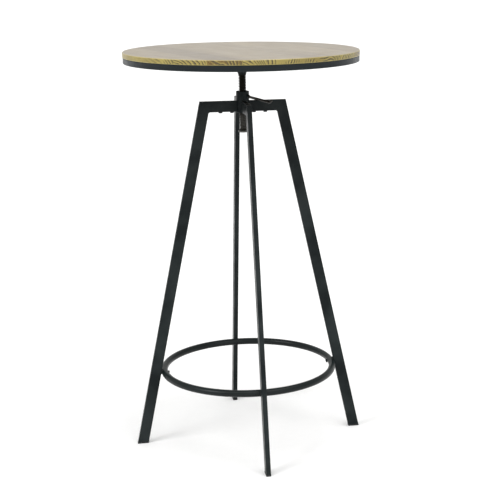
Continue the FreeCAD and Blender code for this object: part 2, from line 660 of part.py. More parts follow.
def on_all_sides(shape):
    return group([on_side(shape, side) for side in SIDES])


def all_parts():
    parts = {}
    for name, shape in boards().items():
        parts[name] = turned_with_top(shape)
    top_pieces = {
        "rim_ring": rim_ring(),
        "cross_bar_long": cross_bar_long(),
        "cross_bar_front": cross_bar_half(SIDES["front"]),
        "cross_bar_back": cross_bar_half(SIDES["back"]),
        "board_screws": board_screws(),
        "spindle_plate": spindle_plate(),
        "spindle_collar": spindle_collar(),
    }
    for name, shape in top_pieces.items():
        parts[name] = turned_with_top(shape)
    parts["spindle"] = spindle()
    parts["stop_screw"] = stop_screw()
    parts["stop_washer"] = stop_washer()
    parts["hub_tube"] = hub_tube()
    parts["spindle_bush"] = spindle_bush()
    parts["lock_boss"] = lock_boss()
    parts["lock_screw"] = lock_screw()
    parts["lock_pad"] = lock_pad()
    for side in SIDES:
        parts["stub_" + side] = on_side(stub(), side)
        parts["arm_" + side] = on_side(arm(), side)
        parts["leg_" + side] = on_side(leg(), side)
        parts["foot_cap_" + side] = on_side(foot_cap(), side)
    parts["arm_bolts"] = arm_bolts()
    parts["foot_ring"] = foot_ring()
    parts["ring_saddles"] = on_all_sides(ring_saddle())
    parts["ring_inserts"] = on_all_sides(ring_insert())
    parts["ring_bolts"] = on_all_sides(ring_bolt())
    return parts


os.makedirs("parts", exist_ok=True)
for node, solid in all_parts().items():
    solid.exportStep("parts/%s.step" % node)
    facts = (node, len(solid.Solids), solid.Volume, solid.isValid())
    print("%-18s solids %2d  volume %10.1f  valid %s" % facts)
print("ring radius %.2f, lean %.2f degrees" % (RING_RADIUS, math.degrees(LEAN)))
print("hub from %.2f to %.2f, arms at %.2f" % (HUB_BOTTOM, HUB_TOP, ARM_TOP))
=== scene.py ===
# %% [markdown]
# # A tall bar table whose top screws up and down
# The table has a round top of glued boards on a rolled steel rim. A threaded spindle carries it in a hub
# with four arms, and four sloping legs stand on plastic caps. A ring to rest the feet on is bolted inside
# the legs. The packed model gives every size and place. This lesson loads it, draws each piece again with
# the finer shapes that light needs, and gives each one a finish made from nodes.

# %% Load the frame
import bpy
import bmesh
import math
import random
from mathutils import Matrix, Vector


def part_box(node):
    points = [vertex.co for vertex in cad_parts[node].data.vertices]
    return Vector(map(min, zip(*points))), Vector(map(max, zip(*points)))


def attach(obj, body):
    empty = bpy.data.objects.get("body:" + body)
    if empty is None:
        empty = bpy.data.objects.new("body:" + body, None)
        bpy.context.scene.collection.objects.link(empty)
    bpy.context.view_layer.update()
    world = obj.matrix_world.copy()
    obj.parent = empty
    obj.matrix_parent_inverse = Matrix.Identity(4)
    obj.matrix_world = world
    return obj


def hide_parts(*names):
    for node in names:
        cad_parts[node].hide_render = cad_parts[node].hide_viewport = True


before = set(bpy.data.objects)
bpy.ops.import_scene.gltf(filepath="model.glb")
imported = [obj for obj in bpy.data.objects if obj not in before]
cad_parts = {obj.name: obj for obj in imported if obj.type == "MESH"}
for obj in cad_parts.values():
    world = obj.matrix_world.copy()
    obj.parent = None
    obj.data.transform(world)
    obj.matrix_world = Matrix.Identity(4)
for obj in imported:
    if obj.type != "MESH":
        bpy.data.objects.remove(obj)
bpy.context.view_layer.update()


def put_in_scene(name, data):
    made = bpy.data.objects.new(name, data)
    bpy.context.scene.collection.objects.link(made)
    return made


# %% [markdown]
# # The camera
# The photograph was taken with a long lens from a little above the top, so the top is a thin ellipse. Eye
# judgement could place the camera, but the four feet, the ring and the top's edge fix it far better: these
# values were fitted so that those points fall on the picture where the photograph has them. The picture is
# cut out of a wider one, so its middle isn't where the lens points. A shift of the lens does the same here.

# %% Place the camera
IMAGE_SIZE = 500
SENSOR_WIDTH = 36.0
FOCAL_PIXELS = 1292.837
AXIS_RIGHT_PIXELS = 78.2     # where the lens points, from the picture's middle
AXIS_BELOW_PIXELS = 14.4
CAMERA_DISTANCE = 3.3201
CAMERA_HEIGHT = 1.2893
CAMERA_TURN = math.radians(-8.490)
CAMERA_PAN = math.radians(3.732)
CAMERA_TILT = math.radians(-13.833)
CAMERA_ROLL = math.radians(-0.373)

camera_data = bpy.data.cameras.new("photo_camera")
camera_data.sensor_width = SENSOR_WIDTH
camera_data.lens = FOCAL_PIXELS / IMAGE_SIZE * SENSOR_WIDTH
camera_data.shift_x = -AXIS_RIGHT_PIXELS / IMAGE_SIZE
camera_data.shift_y = AXIS_BELOW_PIXELS / IMAGE_SIZE
camera = put_in_scene("photo_camera", camera_data)
stand = Matrix.Rotation(CAMERA_TURN, 4, "Z") @ Matrix.Translation((0, -CAMERA_DISTANCE, CAMERA_HEIGHT))
aim = Matrix.Rotation(-CAMERA_PAN, 4, "Z") @ Matrix.Rotation(math.radians(90) + CAMERA_TILT, 4, "X")
camera.matrix_world = stand @ aim @ Matrix.Rotation(CAMERA_ROLL, 4, "Z")
bpy.context.scene.camera = camera
print("the lens is %.1f mm long" % camera_data.lens)

# %% [markdown]
# # The studio
# The photograph is a table cut out on pure white, lit softly from the left and from above. Area lights
# would fade across the floor and leave an edge at the horizon, so wide sun lights are used: they light the
# whole floor alike, and a wide sun casts a soft shadow.

# %% Light the studio
SOFT_LIGHTS = {  # the way that each one comes from, its strength and its width in degrees
    "left_softbox": ((-1.0, -0.5, 0.85), 1.25, 28),
    "overhead_softbox": ((0.15, -0.3, 1.0), 1.3, 50),
    "front_fill": ((0.35, -1.0, 0.40), 0.52, 60),
}

for name, (direction, strength, width) in SOFT_LIGHTS.items():
    light = bpy.data.lights.new(name, "SUN")
    light.energy = strength
    light.angle = math.radians(width)
    sun = put_in_scene(name, light)
    sun.rotation_mode = "QUATERNION"
    sun.rotation_quaternion = Vector(direction).to_track_quat("Z", "Y")
bpy.context.scene.view_settings.view_transform = "Standard"
print("%d soft lights" % len(SOFT_LIGHTS))

# %% [markdown]
# # The world
# The world is white to the camera. A world as bright as that would fill the black paint with grey, so the
# light that it gives the table is a little dimmer: a light path node tells the two kinds of ray apart.

# %% White to the camera
WORLD_LEVEL = 0.62

world = bpy.data.worlds.new("studio")
bpy.context.scene.world = world
world.use_nodes = True
sky = world.node_tree
sky.nodes.clear()
output = sky.nodes.new("ShaderNodeOutputWorld")
chooser = sky.nodes.new("ShaderNodeMixShader")
rays = sky.nodes.new("ShaderNodeLightPath")
sky.links.new(rays.outputs["Is Camera Ray"], chooser.inputs[0])
for socket, colour, strength in ((1, (1.0, 1.0, 0.99, 1), WORLD_LEVEL), (2, (1, 1, 1, 1), 1.0)):
    background = sky.nodes.new("ShaderNodeBackground")
    background.inputs["Color"].default_value = colour
    background.inputs["Strength"].default_value = strength
    sky.links.new(background.outputs[0], chooser.inputs[socket])
sky.links.new(chooser.outputs[0], output.inputs["Surface"])
print("the world lights the table at %.2f" % WORLD_LEVEL)

# %% [markdown]
# # Building finishes from nodes
# A finish is a chain of nodes: a place on the piece goes in, and colour, roughness and small bumps come
# out. This small class keeps each chain readable, because its methods add nodes and give back what comes
# out of them. The places are object coordinates. Every mesh here is drawn in the table's own frame, so the
# grain of a finish is in metres and stays on the piece when it moves.

# %% The finish builder
class Finish:
    """A material whose nodes are added one call at a time."""

    def __init__(self, name, roughness=0.5, metallic=0.0):
        self.material = bpy.data.materials.new(name)
        self.material.use_nodes = True
        self.tree = self.material.node_tree
        self.shader = self.tree.nodes["Principled BSDF"]
        self.set("Roughness", roughness)
        self.set("Metallic", metallic)

    def put(self, socket, value):
        """Links a socket to another one, or gives it a plain value."""
        if isinstance(value, bpy.types.NodeSocket):
            self.tree.links.new(value, socket)
        else:
            socket.default_value = value

    def set(self, name, value):
        self.put(self.shader.inputs[name], value)

    def add(self, kind, *values, output=0, **settings):
        """Adds a node, whose inputs take the values in order. None leaves an input as it is."""
        made = self.tree.nodes.new(kind)
        for key, setting in settings.items():
            setattr(made, key, setting)
        for socket, value in zip(made.inputs, values):
            if value is not None:
                self.put(socket, value)
        return made.outputs[output]

    def place(self, scale=(1, 1, 1), turn=0.0):
        """Object coordinates, turned about Z and then stretched."""
        coordinates = self.add("ShaderNodeTexCoord", output="Object")
        turned = self.add("ShaderNodeMapping", coordinates, None, (0, 0, turn))
        return self.add("ShaderNodeMapping", turned, None, None, scale)

    def noise(self, vector, scale, detail=3.0, roughness=0.55):
        return self.add("ShaderNodeTexNoise", vector, None, scale, detail, roughness)

    def math(self, operation, first, second=0.0):
        return self.add("ShaderNodeMath", first, second, operation=operation)

    def times(self, first, second):
        return self.math("MULTIPLY", first, second)

    def vector(self, operation, first, second=(0, 0, 0), output=0):
        return self.add("ShaderNodeVectorMath", first, second, operation=operation, output=output)

    def stretch(self, vector, scale):
        return self.vector("MULTIPLY", vector, scale)

    def between(self, value, low, high, out_low=0.0, out_high=1.0):
        """Carries low to high over to another range, and stops at its ends."""
        return self.add("ShaderNodeMapRange", value, low, high, out_low, out_high)

    def blend(self, share, first, second):
        """A mix of two colours, which are the Mix node's seventh and eighth inputs."""
        return self.add("ShaderNodeMix", share, *[None] * 5, first, second, data_type="RGBA", output=2)

    def bumps(self, *layers):
        """Small relief, from pairs of a height and its depth in metres, laid one on the other."""
        normal = None
        for height, depth in layers:
            made = self.tree.nodes.new("ShaderNodeBump")
            made.inputs["Distance"].default_value = depth
            self.put(made.inputs["Height"], height)
            if normal is not None:
                self.put(made.inputs["Normal"], normal)
            normal = made.outputs[0]
        self.set("Normal", normal)


print("the finish builder has %d methods" % len([name for name in vars(Finish) if name[0] != "_"]))

# %% [markdown]
# # Colours as a picture shows them
# Blender mixes colours in linear light, while a picture's numbers are bent to suit the eye. One function
# unbends them, so every colour below can be written as it would be read off a picture.

# %% Shades
def shade(red, green, blue):
    """A colour from the 0 to 255 numbers that a picture shows."""
    def linear(level):
        level /= 255
        return level / 12.92 if level <= 0.04045 else ((level + 0.055) / 1.055) ** 2.4
    return (linear(red), linear(green), linear(blue), 1.0)


print("shade(128, 128, 128) is %.3f in linear light" % shade(128, 128, 128)[0])

# %% [markdown]
# # Black powder coat
# The frame is steel, painted by baking a fine black powder on it. Baked powder is never quite smooth: it
# has the soft dimples of orange peel, a fine grit, and a sheen that changes a little from place to place.
# On the outer edges the coat is thinner and rubbed, so it is lighter and shinier there. A bevel node could
# find the edges, but it is slow. The rounded corners are real in these meshes, so the pointiness of the
# mesh finds them.

# %% Powder coat
RUBBED_COAT = shade(58, 64, 64)
PEEL_DEPTH = 0.00012
GRIT_DEPTH = 0.00005


def powder_coat(name, dark, light, roughness, sheen):
    finish = Finish(name, roughness)
    finish.set("Specular IOR Level", sheen)
    place = finish.place()
    clouds = finish.noise(place, 9.0, 4.0)
    grit = finish.noise(place, 1700.0, 2.0, 0.6)
    peel = finish.noise(place, 420.0, 2.0, 0.4)
    tone = finish.math("ADD", finish.times(clouds, 0.75), finish.times(grit, 0.25))
    colour = finish.blend(finish.between(tone, 0.35, 0.65), dark, light)
    edge = finish.between(finish.add("ShaderNodeNewGeometry", output="Pointiness"), 0.505, 0.56)
    worn = finish.times(edge, finish.between(clouds, 0.4, 0.62, 0.15, 0.6))
    finish.set("Base Color", finish.blend(worn, colour, RUBBED_COAT))
    patchy = finish.between(finish.noise(place, 60.0, 3.0), 0.35, 0.7, roughness - 0.05, roughness + 0.08)
    finish.set("Roughness", finish.math("SUBTRACT", patchy, finish.times(worn, 0.12)))
    finish.bumps((peel, PEEL_DEPTH), (grit, GRIT_DEPTH))
    return finish.material


COAT = powder_coat("black_powder_coat", shade(9, 16, 18), shade(14, 24, 27), 0.40, 0.12)
# Painted light: the rim's and the foot ring's coats are lighter copies of the frame's black, and shinier.
LIT_RIM_COAT = powder_coat("rim_coat_painted_lighter", shade(18, 26, 29), shade(28, 37, 41), 0.36, 0.22)
LIT_RING_COAT = powder_coat("ring_coat_painted_lighter", shade(11, 18, 18), shade(17, 26, 26), 0.33, 0.21)
print("three powder coats: the rim's is a little bluer, the foot ring's a little shinier")

# %% [markdown]
# # The wood
# The top is of solid boards, glued edge to edge and cut round, so its front edge shows end grain: growth
# rings that cross it as slanting light and dark bands. A picture of grain would tear at the edge. Here the
# wood is a solid instead: rings are drawn as thick tubes about a pith line that runs beside each board. The
# saw cut through them gives stripes above and slanting bands on the edge, and they always meet at the
# corner. Each board carries its own pith and tone as attributes of its mesh.

# %% Growth rings
TOP_TURN = math.radians(17.0)
RING_WIDTH = 0.0060          # from one growth ring to the next
RING_SWAY = 0.05             # how far the rings wander along a board
RING_RIPPLE = 0.0025

wood = Finish("lacquered_boards", 0.35)
wood_place = wood.place(turn=-TOP_TURN)
pith = wood.add("ShaderNodeAttribute", attribute_name="board_pith", output="Vector")
tone = wood.add("ShaderNodeAttribute", attribute_name="board_tone", output="Fac")
from_pith = wood.vector("SUBTRACT", wood_place, pith)
long_place = wood.stretch(from_pith, (1.0, 0.12, 1.0))
sway = wood.times(wood.noise(long_place, 14.0, 2.0, 0.5), RING_SWAY)
ripple = wood.times(wood.noise(long_place, 120.0, 2.0, 0.5), RING_RIPPLE)
from_centre = wood.vector("LENGTH", wood.stretch(from_pith, (1, 0, 1)), output="Value")
swayed = wood.math("ADD", wood.math("ADD", from_centre, sway), ripple)
ring = wood.math("FRACT", wood.math("DIVIDE", swayed, RING_WIDTH))
late = wood.times(wood.math("POWER", ring, 2.6), wood.between(ring, 0.9, 1.0, 1.0, 0.0))
uneven = wood.between(wood.noise(wood_place, 38.0, 2.0), 0.36, 0.55, 0.2, 1.3)
late = wood.times(late, uneven)
fibre = wood.noise(wood.stretch(from_pith, (900.0, 14.0, 900.0)), 1.0, 3.0, 0.6)
pores = wood.between(wood.noise(wood.stretch(from_pith, (1500.0, 45.0, 1500.0)), 1.0, 1.0), 0.62, 0.72)
print("rings %.1f mm apart" % (RING_WIDTH * 1000))

# %% [markdown]
# # The boards' face
# Seen from above the boards are a pale, limed brown. A broad cloudy tone runs along each board, the late
# wood of each ring draws a thin darker stripe, and fibres and pores make fine dashes along the grain.

# %% Colours of the face
broad = wood.noise(long_place, 9.0, 3.0)
pale = wood.blend(wood.between(broad, 0.35, 0.65), shade(150, 131, 98), shade(188, 170, 134))
light_wood = wood.blend(wood.times(tone, 0.75), pale, shade(112, 92, 60))
dark_wood = wood.blend(tone, shade(124, 102, 66), shade(98, 74, 40))
face_colour = wood.blend(wood.times(late, 0.75), light_wood, dark_wood)
face_colour = wood.blend(wood.between(fibre, 0.45, 0.75, 0.0, 0.3), face_colour, shade(116, 96, 62))
face_colour = wood.blend(wood.times(pores, 0.35), face_colour, shade(70, 54, 32))
print("the face is mixed from seven browns")

# %% [markdown]
# # The boards' edge
# The edge is more golden, because end grain drinks the lacquer. The dark lines show where the saw crossed the
# grain, and fade on the boards that run along the edge. A pale line painted along the lower corner is a
# painted highlight, for the light thrown up on it, and another painted highlight follows the eased upper
# corner. The direction that a surface faces tells face and edge apart.

# %% Colours of the edge
HIGHLIGHT_LINE_FROM = 0.0008         # heights of the painted highlight line over the boards' underside
HIGHLIGHT_LINE_TO = 0.0022

facing = wood.add("ShaderNodeTexCoord", output="Normal")
level = wood.math("ABSOLUTE", wood.vector("DOT_PRODUCT", facing, (0, 0, 1), output="Value"))
upright = wood.between(level, 0.3, 0.8, 1.0, 0.0)
grain_way = (-math.sin(TOP_TURN), math.cos(TOP_TURN), 0)
along_grain = wood.math("ABSOLUTE", wood.vector("DOT_PRODUCT", facing, grain_way, output="Value"))
across_end = wood.between(along_grain, 0.2, 0.6)
browner = wood.math("ADD", tone, wood.between(wood.noise(wood_place, 16.0, 2.0), 0.3, 0.7, -0.22, 0.22))
edge_colour = wood.blend(wood.between(browner, 0.15, 0.85), shade(180, 163, 85), shade(102, 72, 8))
end_late = wood.times(wood.between(late, 0.1, 0.36, 0.0, 1.0), across_end)
edge_colour = wood.blend(end_late, edge_colour, shade(36, 21, 2))
early = wood.times(wood.between(ring, 0.0, 0.35, 0.75, 0.0), wood.times(uneven, across_end))
edge_colour = wood.blend(early, edge_colour, shade(204, 186, 100))
edge_colour = wood.blend(wood.between(fibre, 0.5, 0.68, 0.0, 0.55), edge_colour, shade(208, 190, 104))
height = wood.vector("DOT_PRODUCT", wood_place, (0, 0, 1), output="Value")
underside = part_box("board_4")[0][2]
# Painted highlight: a pale line along the lower corner of the edge, for the light thrown up on it.
painted_lower_highlight = wood.between(height, underside + HIGHLIGHT_LINE_FROM, underside + HIGHLIGHT_LINE_TO, 0.7, 0.0)
edge_colour = wood.blend(painted_lower_highlight, edge_colour, shade(214, 200, 116))
print("the sanded line is %.1f mm high" % (HIGHLIGHT_LINE_TO * 1000))

# %% [markdown]
# # The lacquer
# A satin lacquer mirrors the pale room when it is seen at a low angle, which is why the golden wood looks
# nearly grey in the photograph. A coat over the wood does that, thinner on the edge, where it soaks in.

# %% Put the wood together
# Painted highlight: faces that turn half up, along the eased upper corner, are painted pale.
painted_arris_highlight = wood.times(wood.times(level, 2.6), wood.math("SUBTRACT", 1.0, level))
wood_colour = wood.blend(upright, face_colour, edge_colour)
wood.set("Base Color", wood.blend(painted_arris_highlight, wood_colour, shade(204, 192, 132)))
sealed = wood.between(wood.noise(wood_place, 22.0, 3.0), 0.3, 0.7, 0.28, 0.40)
wood.set("Roughness", wood.math("ADD", sealed, wood.times(upright, 0.25)))
wood.set("Coat Weight", wood.between(upright, 0.0, 1.0, 1.0, 0.5))
wood.set("Coat Roughness", 0.3)
wood.bumps((fibre, 0.00005), (late, 0.00006), (wood.times(pores, -1.0), 0.00008))
WOOD = wood.material
print("the wood has %d nodes" % len(wood.tree.nodes))

# %% [markdown]
# # Bare metals and plastics
# The spindle and the bolts are blackened steel: dark, oily and metallic, with a brown tint, and brighter
# where threads and heads have rubbed. Below the hub the spindle is painted a lighter grey in patches: painted
# light, for the light that falls on it there. The washer is plain grey zinc. The caps and the wedges behind
# the ring are moulded plastic with a fine matt grain.
# Each is one short recipe with its own numbers.

# %% Metals
# Painted light: below the hub the spindle is painted this lighter grey, for the light that falls on it.
PAINTED_LIGHT_FADE = 0.012            # how far below the hub the painted lighter grey fades in
PAINTED_LIGHT_THREAD = shade(72, 72, 69)


def metal(name, dark, light, rubbed, roughness, grain, painted_light_below=None):
    finish = Finish(name, roughness, metallic=1.0)
    place = finish.place()
    stains = finish.noise(place, 160.0, 4.0, 0.6)
    scratches = finish.noise(finish.place((grain, grain, grain * 4)), 1.0, 3.0, 0.6)
    colour = finish.blend(finish.between(stains, 0.35, 0.65), dark, light)
    edge = finish.between(finish.add("ShaderNodeNewGeometry", output="Pointiness"), 0.51, 0.6)
    # Painted light: below a given height the colour turns to the lighter grey, in patches.
    if painted_light_below is not None:
        height = finish.vector("DOT_PRODUCT", place, (0, 0, 1), output="Value")
        painted_light = finish.between(height, painted_light_below - PAINTED_LIGHT_FADE, painted_light_below, 1.0, 0.0)
        patchy = finish.times(painted_light, finish.between(stains, 0.3, 0.6, 0.4, 1.0))
        colour = finish.blend(patchy, colour, PAINTED_LIGHT_THREAD)
    finish.set("Base Color", finish.blend(finish.times(edge, 0.7), colour, rubbed))
    finish.set("Roughness", finish.between(scratches, 0.3, 0.7, roughness - 0.08, roughness + 0.12))
    finish.bumps((scratches, 0.00002), (stains, 0.00003))
    return finish.material


BLACK_STEEL = metal("blackened_spindle", shade(12, 12, 10), shade(21, 20, 17), shade(58, 55, 48), 0.42, 900,
                    painted_light_below=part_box("hub_tube")[0][2])
BOLT_STEEL = metal("blackened_bolts", shade(22, 24, 26), shade(36, 39, 42), shade(90, 92, 94), 0.38, 1200)
LOCK_STEEL = metal("lock_steel", shade(34, 34, 34), shade(56, 54, 52), shade(130, 126, 122), 0.34, 1200)
ZINC = metal("grey_zinc", shade(66, 66, 64), shade(88, 88, 85), shade(130, 130, 126), 0.36, 1500)
BRASS = metal("pad_brass", shade(150, 112, 50), shade(178, 138, 68), shade(214, 184, 112), 0.35, 1500)
INNER_STEEL = metal("inner_steel", shade(92, 92, 92), shade(120, 120, 118), shade(170, 170, 168), 0.4, 900)
print("six metals, and the spindle is painted lighter from %.0f mm below the hub" % (PAINTED_LIGHT_FADE * 1000))

# %% Plastics
def plastic(name, dark, light, roughness):
    finish = Finish(name, roughness)
    place = finish.place()
    grain = finish.noise(place, 2600.0, 1.0)
    scuffs = finish.noise(place, 130.0, 4.0, 0.65)
    finish.set("Base Color", finish.blend(finish.between(scuffs, 0.4, 0.7), dark, light))
    finish.set("Roughness", finish.between(scuffs, 0.3, 0.7, roughness - 0.06, roughness + 0.1))
    finish.bumps((grain, 0.00004), (scuffs, 0.00003))
    return finish.material


FINISHES = {  # the finish of each material slot
    "board_wood": WOOD, "powder_coat": COAT, "spindle_steel": BLACK_STEEL, "stop_steel": ZINC,
    "screw_steel": BOLT_STEEL, "bolt_steel": BOLT_STEEL, "lock_steel": LOCK_STEEL,
    "cap_plastic": plastic("cap_plastic", shade(12, 13, 14), shade(22, 23, 24), 0.5),
    "saddle_plastic": plastic("wedge_plastic", shade(11, 12, 13), shade(20, 21, 22), 0.55),
}
print("%d slots have a finish" % len(FINISHES))

# %% [markdown]
# # Shapes: outlines, joined or spun
# Most of these pieces are a row of outlines joined by skin: a leg is one rounded outline at its two ends, a
# bolt head is a stack of circles that ends in a hexagon. The others are one outline spun about the Z axis,
# as a lathe does. So a few helpers do most of the work: circles, boxes with rounded corners, skin and lathe.

# %% Outlines
X_AXIS, Y_AXIS, Z_AXIS = Vector((1, 0, 0)), Vector((0, 1, 0)), Vector((0, 0, 1))
HEAD_POINTS = 48             # points round the heads of screws and bolts


def full_turn(count):
    """Even angles once round."""
    return [2 * math.pi * k / count for k in range(count)]


def quarter_turn(steps):
    """Even angles from 0 to 90 degrees."""
    return [math.radians(90) * k / steps for k in range(steps + 1)]


def loop(centre, across, up, radius, count):
    """A circle about a centre, in the plane of two directions at right angles."""
    return [centre + (across * math.cos(a) + up * math.sin(a)) * radius for a in full_turn(count)]


def circle(radius, height, count=HEAD_POINTS):
    """A level circle about the Z axis."""
    return loop(Z_AXIS * height, X_AXIS, Y_AXIS, radius, count)


def turned(angle, points):
    """Points turned about the Z axis."""
    turn = Matrix.Rotation(angle, 3, "Z")
    return [turn @ Vector(p) for p in points]


def eased(corners, radii, steps=4):
    """A closed flat outline from its corners, each one rounded by its own radius."""
    outline = []
    for k, radius in enumerate(radii):
        corner = Vector(corners[k])
        if radius == 0:
            outline.append(corner)
            continue
        back = (Vector(corners[k - 1]) - corner).normalized()
        ahead = (Vector(corners[(k + 1) % len(corners)]) - corner).normalized()
        half_angle = back.angle(ahead) / 2
        centre = corner + (back + ahead).normalized() * radius / math.sin(half_angle)
        start = (corner + back * radius / math.tan(half_angle) - centre).normalized()
        end = (corner + ahead * radius / math.tan(half_angle) - centre).normalized()
        outline += [centre + start.slerp(end, s / steps) * radius for s in range(steps + 1)]
    return outline


def eased_box(left, right, bottom, top, radius):
    """A rectangle with its four corners rounded alike."""
    return eased([(left, bottom), (right, bottom), (right, top), (left, top)], [radius] * 4)


print("a rounded box has %d points" % len(eased_box(0, 2, 0, 1, 0.1)))

# %% Skins and lathes
MERGE_DISTANCE = 1e-6


def wire(bm, points, closed=True):
    """A row of vertices, and the edges between them."""
    verts = [bm.verts.new(p) for p in points]
    following = verts[1:] + (verts[:1] if closed else [])
    return verts, [bm.edges.new(pair) for pair in zip(verts, following)]


def skin(bm, outlines, closed=False):
    """Extrudes the first outline on to each of the others, and gives back the edges of both ends."""
    verts, edges = wire(bm, outlines[0])
    first_edges = edges
    for outline in outlines[1:] + (outlines[:1] if closed else []):
        made = bmesh.ops.extrude_edge_only(bm, edges=edges)["geom"]
        edges = only(made, bmesh.types.BMEdge)
        fresh = set(only(made, bmesh.types.BMVert))
        verts = [next(e.other_vert(v) for e in v.link_edges if e.other_vert(v) in fresh) for v in verts]
        for vert, point in zip(verts, outline):
            vert.co = point
    return first_edges, edges


def solid_of(bm, outlines):
    """A closed solid through a row of outlines, with a flat face at both ends."""
    for edges in skin(bm, outlines):
        bmesh.ops.contextual_create(bm, geom=edges)


def lathe(bm, outline, steps, closed=True):
    """Spins an outline of (radius, height) points a full turn about the Z axis."""
    verts, edges = wire(bm, [(radius, 0, height) for radius, height in outline], closed)
    bmesh.ops.spin(bm, geom=verts + edges, cent=(0, 0, 0), axis=(0, 0, 1), angle=2 * math.pi, steps=steps,
                   use_merge=True)


def merge(bm):
    bmesh.ops.remove_doubles(bm, verts=bm.verts, dist=MERGE_DISTANCE)


def everything(bm):
    return bm.verts[:] + bm.edges[:] + bm.faces[:]


def only(geometry, kind):
    """The vertices, edges or faces among what an operator made."""
    return [part for part in geometry if isinstance(part, kind)]


print("points nearer than %.3f mm are merged" % (MERGE_DISTANCE * 1000))

# %% [markdown] # From a mesh to a piece Smooth shading would smear the light over the flat faces beside a
# small rounding. So each corner's normal is an average that counts faces by their area, and large flat
# faces stay flat.

# %% Pieces
CREASE_ANGLE = 38            # faces crease where they turn by more than this, in degrees
CREASE_COSINE = math.cos(math.radians(CREASE_ANGLE))


def flat_normals(mesh):
    """Sets each corner's normal from the faces round it, counted by area, but not across a crease."""
    around = [[] for _ in mesh.vertices]
    for polygon in mesh.polygons:
        for index in polygon.vertices:
            around[index].append((polygon.normal, polygon.area))
    normals = []
    for polygon in mesh.polygons:
        for index in polygon.vertices:
            total = Vector()
            for normal, area in around[index]:
                if normal.dot(polygon.normal) > CREASE_COSINE:
                    total += normal * area
            normals.append(total.normalized())
    mesh.normals_split_custom_set(normals)


def mesh_of(name, bm):
    """Writes a bmesh into a new mesh and frees it."""
    mesh = bpy.data.meshes.new(name)
    bm.to_mesh(mesh)
    bm.free()
    return mesh


def make_piece(name, bm, body, slot, *nodes, finish=None):
    """Turns a mesh into a piece that rides on a body and stands for its nodes."""
    merge(bm)
    bmesh.ops.recalc_face_normals(bm, faces=bm.faces)
    for face in bm.faces:
        face.smooth = True
    mesh = mesh_of(name, bm)
    flat_normals(mesh)
    mesh.materials.append(finish or FINISHES[slot])
    piece = put_in_scene(name, mesh)
    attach(piece, body)
    if nodes:
        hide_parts(*nodes)
    print("%s has %d faces" % (name, len(mesh.polygons)))
    return piece


def solid_piece(name, outlines, body, slot, node):
    bm = bmesh.new()
    solid_of(bm, outlines)
    return make_piece(name, bm, body, slot, node)


def spun_piece(name, outline, steps, body, slot, node, finish=None):
    bm = bmesh.new()
    lathe(bm, outline, steps)
    return make_piece(name, bm, body, slot, node, finish=finish)


print("faces crease where they turn by more than %d degrees" % CREASE_ANGLE)

# %% [markdown]
# # Measuring the packed model
# Heights and radii are read from the packed model, so that the shapes drawn here can't drift away from it.

# %% Measures
def low(node):
    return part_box(node)[0]


def high(node):
    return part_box(node)[1]


def extent(node):
    """How near and how far a node comes to the Z axis, and where it starts and ends along it."""
    radii = [math.hypot(v.co.x, v.co.y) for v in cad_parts[node].data.vertices]
    return min(radii), max(radii), low(node).z, high(node).z


print("the rim runs from %.3f to %.3f m from the axis" % extent("rim_ring")[:2])

# %% [markdown]
# # Cutting the boards
# A real top is glued first and cut round after. The mesh follows the same order: a whole disc with an eased
# upper edge is spun, then cut along the joints, once for each board. The cut faces are closed, and their
# edges get a hair-fine bevel, because glued boards show a fine line where they meet. The joints' places are
# read from the packed boards, turned back square.

# %% Boards
ARRIS = 0.0020
LOWER_EASE = 0.0008
JOINT_EASE = 0.00022
BOARD_STEPS = 240
ARRIS_STEPS = 5
FLAT_ANGLE = math.radians(0.2)
SIDE_GAP = 1e-4              # a joint nearer to the rim than this isn't a joint
PITH_SPREAD = 3.0            # how far along its line a board's pith may start
# Each board's pith, across from its middle and below it, and how brown it is.
BOARD_GRAIN = [(-0.05, 0.03, 0.25), (-0.06, 0.045, 0.2), (-0.05, 0.03, 0.95), (-0.07, 0.05, 0.3),
               (0.12, 0.025, 0.45), (0.03, 0.05, 0.38), (0.09, 0.04, 0.0), (-0.04, 0.04, 0.6)]
BOARDS = ["board_%d" % number for number in range(1, 9)]

top_face, board_bottom = high("board_4").z, low("board_4").z
top_radius = max(extent(node)[1] for node in BOARDS)
random.seed(4)


def board_span(node):
    """Where a board starts and ends across the grain, with the top turned back square."""
    back = Matrix.Rotation(-TOP_TURN, 3, "Z")
    xs = [(back @ v.co).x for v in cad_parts[node].data.vertices]
    return min(xs), max(xs)


def disc_outline():
    centre, level = top_radius - ARRIS, top_face - ARRIS
    arc = [(centre + ARRIS * math.sin(a), level + ARRIS * math.cos(a)) for a in quarter_turn(ARRIS_STEPS)]
    lower = [(top_radius, board_bottom + LOWER_EASE), (top_radius - LOWER_EASE, board_bottom)]
    return [(0, top_face)] + arc + lower + [(0, board_bottom)]


def cut_at(bm, x, outward):
    """Cuts off what lies outward of x, closes the cut and eases its edges."""
    cut = bmesh.ops.bisect_plane(bm, geom=everything(bm), plane_co=(x, 0, 0), plane_no=(outward, 0, 0),
                                 clear_outer=True)
    edges = only(cut["geom_cut"], bmesh.types.BMEdge)
    bmesh.ops.contextual_create(bm, geom=edges)
    bmesh.ops.bevel(bm, geom=edges, offset=JOINT_EASE, segments=2, profile=0.5, affect="EDGES", material=-1)


